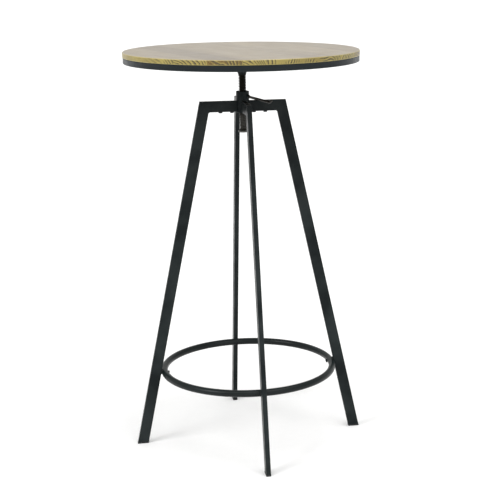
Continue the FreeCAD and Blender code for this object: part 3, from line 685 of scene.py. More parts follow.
def board(number, node):
    bm = bmesh.new()
    lathe(bm, disc_outline(), BOARD_STEPS, closed=False)
    merge(bm)
    bmesh.ops.dissolve_limit(bm, angle_limit=FLAT_ANGLE, verts=bm.verts, edges=bm.edges)
    left, right = board_span(node)
    if left > -top_radius + SIDE_GAP:
        cut_at(bm, left, -1)
    if right < top_radius - SIDE_GAP:
        cut_at(bm, right, 1)
    bmesh.ops.rotate(bm, verts=bm.verts, matrix=Matrix.Rotation(TOP_TURN, 3, "Z"))
    piece = make_piece("wood_board_%d" % number, bm, "top", "board_wood", node)
    across, depth, tone = BOARD_GRAIN[number - 1]
    pith = ((left + right) / 2 + across, random.uniform(-PITH_SPREAD, PITH_SPREAD), board_bottom - depth)
    for name, kind, key, value in (("board_pith", "FLOAT_VECTOR", "vector", pith),
                                   ("board_tone", "FLOAT", "value", [tone])):
        data = piece.data.attributes.new(name, kind, "POINT").data
        data.foreach_set(key, list(value) * len(data))


for number, node in enumerate(BOARDS, start=1):
    board(number, node)

# %% [markdown]
# # The steel rim
# The rim is square tube, rolled into a hoop. Its corners are rounded, and rolling has drawn its outer face
# in a hair, so the light lies along it in two fine bands. It is one outline, spun. A Torus primitive has a
# round section only, so the outline is drawn instead.

# %% Rim
TUBE_CORNER = 0.0015
RIM_HOLLOW = 0.0003          # rolling draws the outer face in by this much
RIM_FACE_BEND = 0.05
RIM_STEPS = 256

rim_inside, rim_outside, rim_bottom, rim_top = extent("rim_ring")
rim_corners = [(rim_inside, rim_bottom), (rim_outside, rim_bottom),
               (rim_outside - RIM_HOLLOW, (rim_bottom + rim_top) / 2),
               (rim_outside, rim_top), (rim_inside, rim_top)]
rim_outline = eased(rim_corners, [TUBE_CORNER, TUBE_CORNER, RIM_FACE_BEND, TUBE_CORNER, TUBE_CORNER], steps=6)
spun_piece("steel_rim", rim_outline, RIM_STEPS, "top", "powder_coat", "rim_ring", finish=LIT_RIM_COAT)

# %% [markdown]
# # Bars and plate under the top
# A top like this is carried by flat bars across its rim and a plate on the spindle, all welded. None of it
# shows in the photograph. The bars are rounded outlines carried from end to end, and the ends are cut round
# to fit inside the rim.

# %% Cross bars
CROSS_WIDTH = 0.020
SQUARE = math.radians(90)


def on_rim(y):
    """Where the rim's inside lies, this far beside a bar's middle."""
    return math.sqrt(rim_inside ** 2 - y ** 2)


def cross_bar(name, node, start, angle):
    outline = eased_box(-CROSS_WIDTH / 2, CROSS_WIDTH / 2, low(node).z, high(node).z, TUBE_CORNER)
    ends = [turned(angle, [(end(y), y, z) for y, z in outline]) for end in (start, on_rim)]
    solid_piece(name, ends, "top", "powder_coat", node)


cross_bar("long_cross_bar", "cross_bar_long", lambda y: -on_rim(y), TOP_TURN)
cross_bar("front_cross_bar", "cross_bar_front", lambda y: CROSS_WIDTH / 2, TOP_TURN - SQUARE)
cross_bar("back_cross_bar", "cross_bar_back", lambda y: CROSS_WIDTH / 2, TOP_TURN + SQUARE)

# %% Plate
PLATE_SIDE = 0.070
PLATE_EASE = 0.0008
PLATE_CORNER = 0.004

plate_bottom, plate_top = low("spindle_plate").z, high("spindle_plate").z
plate_rows = []
for z, inset in ((plate_bottom, PLATE_EASE), (plate_bottom + PLATE_EASE, 0), (plate_top - PLATE_EASE, 0),
                 (plate_top, PLATE_EASE)):
    half = PLATE_SIDE / 2 - inset
    outline = eased_box(-half, half, -half, half, PLATE_CORNER - inset)
    plate_rows.append(turned(TOP_TURN, [(x, y, z) for x, y in outline]))
solid_piece("welded_plate", plate_rows, "top", "powder_coat", "spindle_plate")

# %% [markdown]
# # The collar
# The collar is turned on a lathe, so it is spun here too. Its cone points down to the hub, and its tip is
# the one piece of the top's carrier that the photograph shows.

# %% Collar
COLLAR_TIP_RADIUS = 0.0104
COLLAR_CONE = 0.011
COLLAR_EASE = 0.0008
TURNED_STEPS = 64            # steps round the small turned pieces

collar_inner, collar_radius, collar_tip, collar_top = extent("spindle_collar")
collar_corners = [(collar_inner, collar_tip), (COLLAR_TIP_RADIUS, collar_tip),
                  (collar_radius, collar_tip + COLLAR_CONE), (collar_radius, collar_top),
                  (collar_inner, collar_top)]
collar_outline = eased(collar_corners, [0, COLLAR_EASE, 2 * COLLAR_EASE, COLLAR_EASE, 0])
spun_piece("coned_collar", collar_outline, TURNED_STEPS, "top", "powder_coat", "spindle_collar")

# %% [markdown]
# # Weld beads
# Where steel meets steel the joint is welded, and the bead is a row of small frozen waves. A bead is a thin
# tube along the joint, half sunk, whose thickness swells and shrinks with each wave. One helper draws it
# along any row of points, and smooth wave follows from many thin rings.

# %% Beads
BEAD_RADIUS = 0.0014
BEAD_WAVE = 0.0016           # length of one frozen wave
BEAD_STEP = BEAD_WAVE / 5
BEAD_SWELL = 0.16            # how much thicker the crest of a wave is
BEAD_END = 0.35              # how thick a bead's end is, beside its middle
BEAD_SIDES = 8
UPRIGHT = 0.9                # a bead's way is upright beyond this


def along(points):
    """Points at an even spacing along straight runs."""
    spaced = []
    for start, end in zip(points, points[1:]):
        start, end = Vector(start), Vector(end)
        count = max(2, round((end - start).length / BEAD_STEP))
        spaced += [start.lerp(end, k / count) for k in range(count)]
    return spaced + [Vector(points[-1])]


def bead(bm, points, radius=BEAD_RADIUS, closed=False):
    """A rippled tube along a row of closely spaced points."""
    last = len(points) - 1
    outlines = []
    travelled = 0.0
    for k, spot in enumerate(points):
        before = points[k - 1] if k or closed else spot
        after = points[(k + 1) % len(points)] if k < last or closed else spot
        way = (after - before).normalized()
        aside = way.orthogonal() if abs(way.z) > UPRIGHT else way.cross(Z_AXIS)
        aside.normalize()
        size = radius * (1 + BEAD_SWELL * math.sin(2 * math.pi * travelled / BEAD_WAVE))
        if not closed and k in (0, last):
            size *= BEAD_END
        outlines.append(loop(spot, aside, aside.cross(way), size, BEAD_SIDES))
        travelled += (after - spot).length
    if closed:
        skin(bm, outlines, closed=True)
    else:
        solid_of(bm, outlines)


print("a bead's waves are %.1f mm long" % (BEAD_WAVE * 1000))

# %% Welds under the top
def top_welds():
    """Beads at the bars' ends, in the corners of the cross, on the plate and round the collar."""
    bm = bmesh.new()
    half = CROSS_WIDTH / 2
    end = on_rim(half)
    bottom, top = low("cross_bar_long").z, high("cross_bar_long").z
    outer_end, inner_end = PLATE_SIDE / 2 - 2 * BEAD_RADIUS, half + 2 * BEAD_RADIUS
    for number in range(4):
        runs = [[(end, -half, bottom), (rim_inside, 0, bottom), (end, half, bottom)]]
        for side in (-half, half):
            runs.append([(end, side, top), (end, side, bottom)])
            runs.append([(outer_end, side, plate_top), (inner_end, side, plate_top)])
            if number % 2 == 0:
                runs.append([(side, half, top), (side, half, bottom)])
        for run in runs:
            bead(bm, turned(TOP_TURN + number * SQUARE, along(run)))
    around = round(2 * math.pi * collar_radius / BEAD_STEP)
    bead(bm, circle(collar_radius, plate_bottom, around), closed=True)
    make_piece("top_weld_beads", bm, "top", "powder_coat")


top_welds()

# %% [markdown]
# # Wood screws
# Slotted wood screws, their heads sunk flush, hold the boards to the rim. The slot is cut as a saw would:
# the head is split by planes, and the strip between them is pushed in. Their places are read from the
# packed screws, which stand well apart from each other.

# %% Wood screws
SCREW_RADIUS = 0.004
SCREW_SHANK = 0.002
SCREW_CONE = 0.0024
SCREW_EASE = 0.0002
SCREW_SLOT = 0.0012          # how wide and how deep the slot is
SCREW_PROUD = 0.0001         # the flat heads stand a hair below the rim
SCREW_APART = 0.010          # points nearer to each other than this are on one screw


def slotted_head():
    """A wood screw's head, its flat face down, with a slot right across that."""
    head = bmesh.new()
    lathe(head, [(0, SCREW_CONE), (SCREW_SHANK, SCREW_CONE), (SCREW_RADIUS, SCREW_EASE),
                 (SCREW_RADIUS - SCREW_EASE, 0), (0, 0)], HEAD_POINTS, closed=False)
    merge(head)
    half = SCREW_SLOT / 2
    for spot, way in ((Y_AXIS * half, Y_AXIS), (Y_AXIS * -half, Y_AXIS), (Z_AXIS * SCREW_SLOT, Z_AXIS)):
        bmesh.ops.bisect_plane(head, geom=everything(head), plane_co=spot, plane_no=way)
    strip = []
    for face in head.faces:
        middle = face.calc_center_median()
        if abs(middle.y) < half and middle.z < SCREW_SLOT:
            strip.append(face)
    pushed = bmesh.ops.extrude_face_region(head, geom=strip)
    bmesh.ops.delete(head, geom=[face for face in strip if face.is_valid], context="FACES")
    for vert in only(pushed["geom"], bmesh.types.BMVert):
        vert.co.z = SCREW_SLOT
    return head


def screw_places():
    """The middle of each screw's head, read from the packed screws."""
    spots = [v.co.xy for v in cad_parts["board_screws"].data.vertices]
    places = []
    while spots:
        first = spots[0]
        group = [spot for spot in spots if (spot - first).length < SCREW_APART]
        spots = [spot for spot in spots if (spot - first).length >= SCREW_APART]
        places.append([(min(side) + max(side)) / 2 for side in zip(*group)])
    return places


def put_heads(name, head, places, body, slot, node):
    """A piece with a copy of the head at each place, turned by chance."""
    mesh = mesh_of("one_head", head)
    bm = bmesh.new()
    for place in places:
        fresh = len(bm.verts)
        bm.from_mesh(mesh)
        turn = Matrix.Rotation(random.uniform(0, math.pi), 4, "Z")
        bmesh.ops.transform(bm, matrix=place @ turn, verts=bm.verts[fresh:])
    bpy.data.meshes.remove(mesh)
    make_piece(name, bm, body, slot, node)


head_level = rim_bottom - SCREW_PROUD
head_places = [Matrix.Translation((x, y, head_level)) for x, y in screw_places()]
put_heads("wood_screw_heads", slotted_head(), head_places, "top", "screw_steel", "board_screws")

# %% [markdown]
# # The threaded spindle
# The spindle is a 20 mm bar with a coarse trapezoidal thread of 4 mm pitch. The packed model shows the
# thread as separate rings, which do for measuring. Here it is a true helix: one pitch of the profile is
# repeated up the bar, and every column of points is lifted a little more than the last, so that after a full
# turn it meets the next pitch. At both ends the points are held at the thread's end and merged, and the
# groove fades out as a real cutting tool leaves it.

# %% Threads
CREST_EASE = 0.12            # how much of the groove's depth its rounded mouth takes
CREST_LEAN = 0.4


def thread_profile(pitch, depth, floor_share, flank):
    """(height, depth) points of one pitch of thread, with its crests rounded a little."""
    floor = pitch * floor_share / 2
    mouth = floor + depth * math.tan(flank)
    ease = depth * CREST_EASE
    inner = mouth - ease * CREST_LEAN
    return [(-mouth - ease, 0), (-inner, ease), (-floor, depth), (floor, depth), (inner, ease),
            (mouth + ease, 0)]


def helix(bm, radius, pitch, profile, length, fade, columns=64):
    """The thread of a bar along Z from 0 to its length, whose groove fades out at both ends."""
    turns = range(int(length / pitch) + 3)
    rows = [((turn - 1.5) * pitch + z, depth) for turn in turns for z, depth in profile]
    grid = []
    for c, angle in enumerate(full_turn(columns)):
        column = []
        for z, depth in rows:
            height = min(max(z + pitch * c / columns, 0), length)
            out = radius - depth * min(1.0, height / fade, (length - height) / fade)
            column.append(bm.verts.new((out * math.cos(angle), out * math.sin(angle), height)))
        grid.append(column)
    grid.append(grid[0][len(profile):])
    for one, other in zip(grid, grid[1:]):
        for k in range(len(other) - 1):
            bm.faces.new((one[k], other[k], other[k + 1], one[k + 1]))
    merge(bm)
    bmesh.ops.dissolve_degenerate(bm, edges=bm.edges, dist=MERGE_DISTANCE)


print("one pitch of thread has %d points" % len(thread_profile(1.0, 0.5, 0.3, 0.2)))

# %% Spindle
PITCH = 0.004
THREAD_DEPTH = 0.00225
FLOOR_SHARE = 0.33
FLANK = math.radians(15)
FADE = 0.003
SPINDLE_CHAMFER = 0.0015
COLLAR_CLEAR = 0.001         # the thread ends this far below the collar


def spindle():
    """The thread, with a plain end above it and a chamfer below."""
    _, radius, bottom, top = extent("spindle")
    start, end = bottom + SPINDLE_CHAMFER, collar_tip - COLLAR_CLEAR
    bm = bmesh.new()
    profile = thread_profile(PITCH, THREAD_DEPTH, FLOOR_SHARE, FLANK)
    helix(bm, radius, PITCH, profile, end - start, FADE)
    bmesh.ops.translate(bm, vec=Z_AXIS * start, verts=bm.verts)
    for seam, end_radius, height in ((end, radius, top), (start, radius - SPINDLE_CHAMFER, bottom)):
        edges = [e for e in bm.edges if e.is_boundary
                 and all(abs(v.co.z - seam) < MERGE_DISTANCE for v in e.verts)]
        made = bmesh.ops.extrude_edge_only(bm, edges=edges)["geom"]
        for vert in only(made, bmesh.types.BMVert):
            way = Vector((vert.co.x, vert.co.y, 0)).normalized()
            vert.co = way * end_radius + Z_AXIS * height
        bmesh.ops.contextual_create(bm, geom=only(made, bmesh.types.BMEdge))
    make_piece("threaded_spindle", bm, "top", "spindle_steel", "spindle")


spindle()

# %% [markdown]
# # Bolt heads
# Button-head bolts with a hexagon socket hold the arms and the ring. Heads catch the light, so each has its
# rim and its recess. A hexagon ring with as many points as the circle beside it can be skinned to it
# directly, which keeps the mesh in quads.

# %% Heads and sockets
BOLT_RADIUS = 0.00525
BOLT_CROWN = 0.0029
BOLT_HEIGHT = 0.0033
BOLT_SHANK = 0.003
SHANK_LENGTH = 0.002
BOLT_SOCKET = 0.004          # across the flats
BOLT_SOCKET_DEPTH = 0.002
BOLT_LIP = 0.58              # the socket's round lip, as a share of its width
DOME_STEPS = 7
RIM_SHARE = 0.7              # how much of a head's low shoulder is upright
SOCKET_EASE = 0.0002
DRILL_TIP = 0.2              # the drill's small end, as a share of the socket's width
DRILL_DEPTH = 1.15           # how deep it went, as a share of the socket's depth


def button_outlines():
    """A button head's circles, from its shank and its rim on the plane Z = 0 down to its flat crown."""
    shoulder = BOLT_HEIGHT / 3
    rows = [(BOLT_SHANK, SHANK_LENGTH), (BOLT_SHANK, 0), (BOLT_RADIUS, 0),
            (BOLT_RADIUS, -shoulder * RIM_SHARE)]
    for a in quarter_turn(DOME_STEPS):
        rows.append((BOLT_CROWN + (BOLT_RADIUS - BOLT_CROWN) * math.cos(a),
                     -shoulder - (BOLT_HEIGHT - shoulder) * math.sin(a)))
    return [circle(radius, z) for radius, z in rows]


def hexagon(across, height):
    """A hexagon of as many points as a head's circles."""
    points = []
    for a in full_turn(HEAD_POINTS):
        radius = across / 2 / math.cos(a % math.radians(60) - math.radians(30))
        points.append(Vector((radius * math.cos(a), radius * math.sin(a), height)))
    return points


def socket_outlines(across, depth, face, lip):
    """A hexagon socket in a face: its lip, its two ends and the point that the drill left."""
    return [circle(lip, face), hexagon(across, face + SOCKET_EASE), hexagon(across, face + depth),
            circle(across * DRILL_TIP, face + depth * DRILL_DEPTH)]


def bolts(name, places, node):
    """Bolt heads, each hanging under the plane Z = 0 of its place."""
    head = bmesh.new()
    solid_of(head, button_outlines()
             + socket_outlines(BOLT_SOCKET, BOLT_SOCKET_DEPTH, -BOLT_HEIGHT, BOLT_SOCKET * BOLT_LIP))
    put_heads(name, head, places, "frame", "bolt_steel", node)


print("a bolt head has %d outlines above its socket" % len(button_outlines()))

# %% [markdown]
# # The stop under the spindle
# A zinc washer and a countersunk screw close the spindle's lower end, so that the top can't be wound right
# out. The washer is a spun section with a coned hole, and the screw's head sits flush in it.

# %% Stop
WASHER_EASE = 0.0008
STOP_HEAD = 0.00775          # radius of the screw's head
STOP_SHANK = 0.004
STOP_CONE = STOP_HEAD - STOP_SHANK
STOP_PLAY = 0.00015
STOP_EASE = 0.0002
STOP_SOCKET = 0.005
STOP_SOCKET_DEPTH = 0.0025
STOP_LIP = 0.6

_, outer, bottom, top = extent("stop_washer")
washer_corners = [(STOP_HEAD + STOP_PLAY, bottom), (outer, bottom), (outer, top),
                  (STOP_SHANK + STOP_PLAY, top), (STOP_SHANK + STOP_PLAY, bottom + STOP_CONE)]
washer_outline = eased(washer_corners, [0, WASHER_EASE, WASHER_EASE, 0, 0])
spun_piece("end_washer", washer_outline, TURNED_STEPS, "stop", "stop_steel", "stop_washer")

bottom, top = low("stop_screw").z, high("stop_screw").z
screw_rows = [(STOP_SHANK, top), (STOP_SHANK, bottom + STOP_CONE), (STOP_HEAD, bottom + STOP_EASE),
              (STOP_HEAD - STOP_EASE, bottom)]
stop_socket = socket_outlines(STOP_SOCKET, STOP_SOCKET_DEPTH, bottom, STOP_SOCKET * STOP_LIP)
solid_piece("countersunk_screw", [circle(radius, z) for radius, z in screw_rows] + stop_socket,
            "top", "bolt_steel", "stop_screw")

# %% [markdown]
# # The hub
# The hub is a short thick tube with eased ends. The spindle's threaded bush sits inside it and keeps its
# packed shape.

# %% Hub
HUB_EASE = 0.0007
HUB_STEPS = 96

hub_inner, hub_radius, hub_bottom, hub_top = extent("hub_tube")
hub_outline = eased_box(hub_inner, hub_radius, hub_bottom, hub_top, HUB_EASE)
spun_piece("hub_sleeve", hub_outline, HUB_STEPS, "frame", "powder_coat", "hub_tube")

# %% [markdown]
# # The boss on the hub
# A round boss is welded on the hub's side for the locking screw. Where it meets the round hub, each of its
# points is slid along the boss until it lies on the hub, so the joint is a true saddle curve, and the weld
# is a fillet that swells and shrinks round it.

# %% The lock's axis
LOCK_TURN = math.radians(-45)
LOCK_SLOPE = math.radians(9)
LOCK_DROP = 0.0132

lock_out = Vector((math.cos(LOCK_TURN), math.sin(LOCK_TURN), 0))
lock_way = lock_out * math.cos(LOCK_SLOPE) - Z_AXIS * math.sin(LOCK_SLOPE)
lock_start = lock_out * hub_radius + Z_AXIS * (hub_top - LOCK_DROP)
lock_side = lock_way.cross(Z_AXIS).normalized()
lock_lift = lock_side.cross(lock_way)


def lock_point(angle, radius, distance):
    """A point this far from the lock's axis, and this far out along it from the hub."""
    aside = lock_side * math.cos(angle) + lock_lift * math.sin(angle)
    return lock_start + lock_way * distance + aside * radius


def on_hub(angle, radius):
    """How far out along the lock's axis a point of that radius meets the hub's surface."""
    flat_way = lock_way.xy
    flat_spot = lock_point(angle, radius, 0).xy
    half = flat_spot.dot(flat_way) / flat_way.length_squared
    rest = (flat_spot.length_squared - hub_radius ** 2) / flat_way.length_squared
    return -half + math.sqrt(half * half - rest)


print("the lock's axis starts at %s" % lock_start)

# %% Boss
BOSS_RADIUS = 0.0055
BOSS_LENGTH = 0.003
BOSS_POINTS = 96
BOSS_EASE = 0.0004
LOCK_BORE = 0.0041
WELD_RIPPLE = 0.0001
WELD_WAVES = 28
# The weld's fillet: how far outside the boss each row is, and how far above the hub.
WELD_ROWS = [(0.0013, -0.0003), (0.0010, 0.0002), (0.0006, 0.0004), (0.0002, 0.0008), (0.0, 0.0012)]


def boss():
    angles = full_turn(BOSS_POINTS)
    bm = bmesh.new()
    rings = []
    for out, rise in WELD_ROWS:
        ripple = WELD_RIPPLE if out else 0
        rings.append([lock_point(a, BOSS_RADIUS + out + ripple * math.sin(a * WELD_WAVES),
                                 on_hub(a, BOSS_RADIUS + out) + rise) for a in angles])
    for radius, distance in ((BOSS_RADIUS, BOSS_LENGTH - BOSS_EASE), (BOSS_RADIUS - BOSS_EASE, BOSS_LENGTH),
                             (LOCK_BORE, BOSS_LENGTH)):
        rings.append([lock_point(a, radius, distance) for a in angles])
    rings.append([lock_point(a, LOCK_BORE, on_hub(a, LOCK_BORE) + WELD_ROWS[0][1]) for a in angles])
    skin(bm, rings, closed=True)
    make_piece("welded_boss", bm, "frame", "powder_coat", "lock_boss")


boss()

# %% [markdown]
# # The locking screw
# It is one steel rod: threaded where it goes through the boss, plain outside, and bent up at the end as a
# finger stop. The plain rod is a circle carried along a line and an arc. The arc and the rod lie in one
# plane, so the circle needs no twist. The thread is the same helix as the spindle's, finer, laid along the
# rod.

# %% Locking screw
LOCK_PITCH = 0.00125
LOCK_THREAD_RADIUS = 0.004
LOCK_THREAD_DEPTH = 0.0007
LOCK_THREAD_END = 0.005
LOCK_FLOOR_SHARE = 0.12
LOCK_FLANK = math.radians(30)
ROD_OVERLAP = 0.001          # how far the plain rod starts inside the threaded end
ROD_RADIUS = 0.00325
ROD_LENGTH = 0.066
ROD_POINTS = 32
BEND_RADIUS = 0.007
BEND_ANGLE = math.radians(65)
BEND_STEPS = 14
TIP_LENGTH = 0.0031
TIP_ROUNDING = 0.0016
TIP_STEPS = 5


def lock_thread(bm):
    inner_end = min((v.co - lock_start).dot(lock_way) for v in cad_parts["lock_screw"].data.vertices)
    profile = thread_profile(LOCK_PITCH, LOCK_THREAD_DEPTH, LOCK_FLOOR_SHARE, LOCK_FLANK)
    helix(bm, LOCK_THREAD_RADIUS, LOCK_PITCH, profile, LOCK_THREAD_END - inner_end, LOCK_PITCH, ROD_POINTS)
    bmesh.ops.holes_fill(bm, edges=[e for e in bm.edges if e.is_boundary], sides=0)
    laid = Matrix((lock_lift, lock_side, lock_way)).transposed().to_4x4()
    laid.translation = lock_start + lock_way * inner_end
    bmesh.ops.transform(bm, verts=bm.verts, matrix=laid)


def lock_rod():
    bm = bmesh.new()
    lock_thread(bm)
    start = lock_start + lock_way * (LOCK_THREAD_END - ROD_OVERLAP)
    centre = lock_start + lock_way * ROD_LENGTH + lock_lift * BEND_RADIUS
    outlines = [loop(start, lock_side, lock_lift, ROD_RADIUS, ROD_POINTS)]
    for k in range(BEND_STEPS + 1):
        bent = BEND_ANGLE * k / BEND_STEPS
        lift = lock_lift * math.cos(bent) - lock_way * math.sin(bent)
        outlines.append(loop(centre - lift * BEND_RADIUS, lock_side, lift, ROD_RADIUS, ROD_POINTS))
    out = lock_way * math.cos(BEND_ANGLE) + lock_lift * math.sin(BEND_ANGLE)
    bend_end = centre - lift * BEND_RADIUS
    for a in quarter_turn(TIP_STEPS):
        spot = bend_end + out * (TIP_LENGTH - TIP_ROUNDING + TIP_ROUNDING * math.sin(a))
        radius = ROD_RADIUS - TIP_ROUNDING + TIP_ROUNDING * math.cos(a)
        outlines.append(loop(spot, lock_side, lift, radius, ROD_POINTS))
    solid_of(bm, outlines)
    make_piece("locking_rod", bm, "lock", "lock_steel", "lock_screw")


lock_rod()

# %% [markdown]
# # Arms and legs
# Arm and leg are lengths of the same rectangular tube, cut to a mitre and welded. The mitre plane goes
# through the outer and the inner corner, so a point of the tube's outline at a given depth meets it at the
# same share of the way between the two. That gives both tubes the same end outline, and no trimming is
# needed. The foot is cut level in the same way. One set of outlines is drawn along X and turned to the four
# sides.

# %% Where the tubes meet
SIDES = {"front": -SQUARE, "right": 0.0, "back": SQUARE, "left": 2 * SQUARE}
TUBE_DEPTH = 0.028
TUBE_WIDTH = 0.012
TUBE_WALL = 0.0012

arm_top, arm_reach = high("arm_right").z, high("arm_right").x
arm_bottom = arm_top - TUBE_DEPTH
arm_start = math.hypot(low("arm_right").x, TUBE_WIDTH / 2)
cap_height = low("leg_right").z
lean = math.atan2(high("leg_right").x - arm_reach, arm_top - cap_height)
outer_corner = Vector((arm_reach, 0, arm_top))
leg_way = Vector((math.sin(lean), 0, -math.cos(lean)))
inward = Vector((-math.cos(lean), 0, -math.sin(lean)))


def leg_at(depth, width, z):
    """The point at a height on the leg, this deep from its outer face and this far aside."""
    spot = outer_corner + inward * depth + Y_AXIS * width
    return spot + leg_way * ((z - spot.z) / leg_way.z)


inner_corner = leg_at(TUBE_DEPTH, 0, arm_bottom)
mitre = inner_corner - outer_corner
print("the legs lean %.2f degrees, the arms start %.1f mm out" % (math.degrees(lean), arm_start * 1000))

# %% Tubes
def section(grown, corner):
    """(depth, width) points of the tube's outline, grown outwards by a distance."""
    half = TUBE_WIDTH / 2 + grown
    return eased_box(-grown, TUBE_DEPTH + grown, -half, half, corner)


def at_hub(outline):
    """The arm's outline, cut round where it meets the hub."""
    return [Vector((math.sqrt(arm_start ** 2 - w * w), w, arm_top - d)) for d, w in outline]


def on_mitre(outline):
    return [outer_corner + mitre * (d / TUBE_DEPTH) + Y_AXIS * w for d, w in outline]


def at_cap(outline):
    return [leg_at(d, w, cap_height) for d, w in outline]


def tube_piece(name, node, side, start_of, end_of):
    """A tube between two cuts, open at both ends, with its wall showing there."""
    outside = section(0, TUBE_CORNER)
    inside = section(-TUBE_WALL, TUBE_CORNER - TUBE_WALL)
    cuts = [start_of(outside), end_of(outside), end_of(inside), start_of(inside)]
    bm = bmesh.new()
    skin(bm, [turned(SIDES[side], cut) for cut in cuts], closed=True)
    make_piece(name, bm, "frame", "powder_coat", node)


for side in SIDES:
    tube_piece("arm_tube_" + side, "arm_" + side, side, at_hub, on_mitre)
    tube_piece("leg_tube_" + side, "leg_" + side, side, on_mitre, at_cap)

# %% [markdown]
# # Mitre welds
# The corner welds are ground flush on the outside and left as a small bead in the inner corner, where a
# grinder doesn't reach. Through the powder coat the ground seam shows as a barely raised line.

# %% Mitre welds
SEAM_RADIUS = 0.0006
SEAM_SINK = 0.00042
SEAM_SHORT = 0.05            # share of the mitre that a seam leaves free at each end
CORNER_BEAD = 0.0017


def mitre_welds():
    bm = bmesh.new()
    seam = TUBE_WIDTH / 2 - SEAM_SINK
    bead_end = TUBE_WIDTH / 2 - CORNER_BEAD
    ends = [outer_corner + mitre * SEAM_SHORT, inner_corner - mitre * SEAM_SHORT]
    across = [inner_corner - Y_AXIS * bead_end, inner_corner + Y_AXIS * bead_end]
    for turn in SIDES.values():
        for y in (-seam, seam):
            bead(bm, turned(turn, along([end + Y_AXIS * y for end in ends])), SEAM_RADIUS)
        bead(bm, turned(turn, along(across)), CORNER_BEAD)
    make_piece("mitre_weld_beads", bm, "frame", "powder_coat")


mitre_welds()

# %% [markdown]
# # Leg caps
# Each leg ends in a plastic cap, a plug with a lip just wider than the tube. Its lower edge is rounded so
# that it doesn't catch. The lip is a stack of level outlines down the leg's lean, set in more and more by a
# quarter circle at the bottom.

# %% Leg caps
CAP_LIP = 0.0004
CAP_ROUNDING = 0.001
CAP_CORNER = 0.0019
CAP_EASE = 0.0002
CAP_STEPS = 5
CAP_LEAST_CORNER = 0.0003
PLUG_TOP = 0.018
PLUG_PLAY = 0.0001           # between the plug and the tube's wall

# The height of each outline, from the floor up into the tube, and how far it is set in.
cap_rows = [(CAP_ROUNDING * (1 - math.cos(a)), CAP_ROUNDING * (1 - math.sin(a)))
            for a in quarter_turn(CAP_STEPS)]
plug_inset = CAP_LIP + TUBE_WALL + PLUG_PLAY
cap_rows += [(cap_height - CAP_EASE, 0), (cap_height, CAP_EASE), (cap_height, plug_inset),
             (PLUG_TOP, plug_inset)]

for side, turn in SIDES.items():
    outlines = []
    for z, inset in cap_rows:
        outline = section(CAP_LIP - inset, max(CAP_CORNER - inset, CAP_LEAST_CORNER))
        outlines.append(turned(turn, [leg_at(d, w, z) for d, w in outline]))
    solid_piece("leg_cap_" + side, outlines, "frame", "cap_plastic", "foot_cap_" + side)

# %% [markdown]
# # The foot ring
# The ring is round tube bent into a hoop and bolted through from its inside into the legs. A circle spun
# about the table's axis makes it.

# %% Foot ring
RING_STEPS = 288
RING_SIDES = 32

_, ring_reach, ring_bottom, ring_top = extent("foot_ring")
tube_radius, ring_height = (ring_top - ring_bottom) / 2, (ring_top + ring_bottom) / 2
ring_radius = ring_reach - tube_radius
ring_outline = [(ring_radius + x, ring_height + z) for x, z, _ in circle(tube_radius, 0, RING_SIDES)]
spun_piece("round_foot_ring", ring_outline, RING_STEPS, "frame", "powder_coat", "foot_ring", finish=LIT_RING_COAT)

# %% [markdown]
# # Wedges behind the ring
# The legs lean, so the ring's bolts do too, and a small black wedge fills the gap between the round tube
# and the flat leg. The wedge is a cylinder about the bolt: one end is flat on the leg, and each point of
# the other end is slid along until it touches the hoop.

# %% Wedges
WEDGE_RADIUS = 0.007
WEDGE_EASE = 0.0004
RING_GAP = 0.0002            # between the ring and the leg
HOOP_TRIES = 40
HOOP_CAUTION = 0.7           # how much of the way left each try goes

bolt_way = Vector((math.cos(lean), 0, math.sin(lean)))
bolt_up = bolt_way.cross(Y_AXIS).normalized()


def ring_bolt_place(depth):
    """On a ring bolt's axis, this far past the leg's inner face."""
    return Vector((ring_radius, 0, ring_height)) + bolt_way * (tube_radius + RING_GAP + depth)


def to_hoop(spot):
    """How far a point goes back along the bolt until it touches the hoop's tube."""
    distance = 0.0
    for _ in range(HOOP_TRIES):
        place = spot - bolt_way * distance
        out = math.hypot(math.hypot(place.x, place.y) - ring_radius, place.z - ring_height)
        distance += (out - tube_radius) * HOOP_CAUTION
    return distance


def wedges():
    bm = bmesh.new()
    face = loop(ring_bolt_place(0), Y_AXIS, bolt_up, WEDGE_RADIUS - WEDGE_EASE, HEAD_POINTS)
    body = loop(ring_bolt_place(-WEDGE_EASE), Y_AXIS, bolt_up, WEDGE_RADIUS, HEAD_POINTS)
    seat = [spot - bolt_way * to_hoop(spot) for spot in body]
    for turn in SIDES.values():
        solid_of(bm, [turned(turn, outline) for outline in (face, body, seat)])
    make_piece("wedge_spacers", bm, "frame", "saddle_plastic", "ring_saddles")


wedges()

# %% [markdown]
# # The bolts
# One bolt goes through the ring at each leg, square to the leg, and two hold each arm from below to the
# stub inside it. All of them are the one head drawn above, moved into place.

# %% Bolts
ARM_BOLT_REACHES = (0.0285, 0.058)   # how far from the table's axis an arm's two bolts are

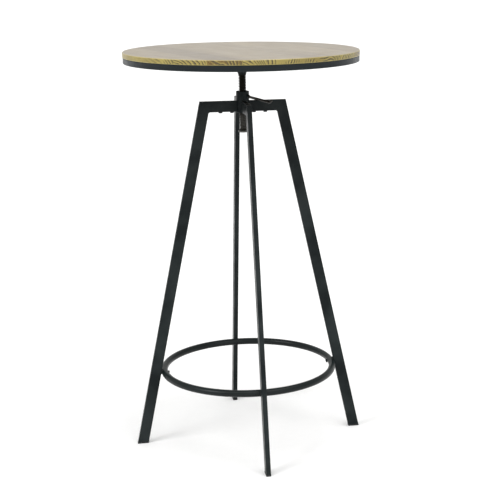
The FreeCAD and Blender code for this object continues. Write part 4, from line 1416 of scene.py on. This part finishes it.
turns = [Matrix.Rotation(turn, 4, "Z") for turn in SIDES.values()]
lying = Matrix.Rotation(SQUARE - lean, 4, "Y")
ring_bolt = Matrix.Translation(ring_bolt_place(-2 * tube_radius - RING_GAP)) @ lying
bolts("ring_bolt_heads", [turn @ ring_bolt for turn in turns], "ring_bolts")
bolts("arm_bolt_heads", [turn @ Matrix.Translation((x, 0, arm_bottom)) for turn in turns
                         for x in ARM_BOLT_REACHES], "arm_bolts")

# %% [markdown]
# # The pieces that stay as packed
# The bush, the stub bars inside the arms, the threaded inserts and the brass pad hardly show. Their packed
# shapes do, so they only get a finish.

# %% Finishes for packed nodes
packed = {"lock_pad": BRASS, "spindle_bush": INNER_STEEL, "ring_inserts": INNER_STEEL}
packed.update({"stub_" + side: INNER_STEEL for side in SIDES})
for node, finish in packed.items():
    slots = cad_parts[node].data.materials
    slots.clear()
    slots.append(finish)
print("%d packed nodes have a finish" % len(packed))

# %% [markdown]
# # The floor
# The floor is the plain white sweep of a studio, and only the soft shadow near the caps shows on it. White
# as it looks, it would throw its light back under the black frame and turn it grey. So it is darker to the
# light that bounces off it than it is to the camera. It is part of the stage, not of the table.

# %% Floor
FLOOR_REACH = 60.0
FLOOR_BOUNCE = shade(120, 120, 120)


def studio_floor():
    finish = Finish("white_floor", 0.9)
    seen = finish.blend(finish.noise(finish.place(), 40.0), shade(248, 248, 248), shade(252, 252, 252))
    bounced = finish.add("ShaderNodeLightPath", output="Is Diffuse Ray")
    finish.set("Base Color", finish.blend(bounced, seen, FLOOR_BOUNCE))
    bm = bmesh.new()
    bmesh.ops.create_grid(bm, x_segments=8, y_segments=8, size=FLOOR_REACH)
    floor = put_in_scene("studio_floor", mesh_of("studio_floor", bm))
    floor.data.materials.append(finish.material)


studio_floor()
print("the floor reaches %.0f m" % FLOOR_REACH)

# %% [markdown]
# # Bring the scene up to date
# The looks must not change the table's size. Last, the scene is brought up to date.
# The looks must not change the table's size, so both boxes are written down to be compared.

# %% Finish
bpy.context.view_layer.update()
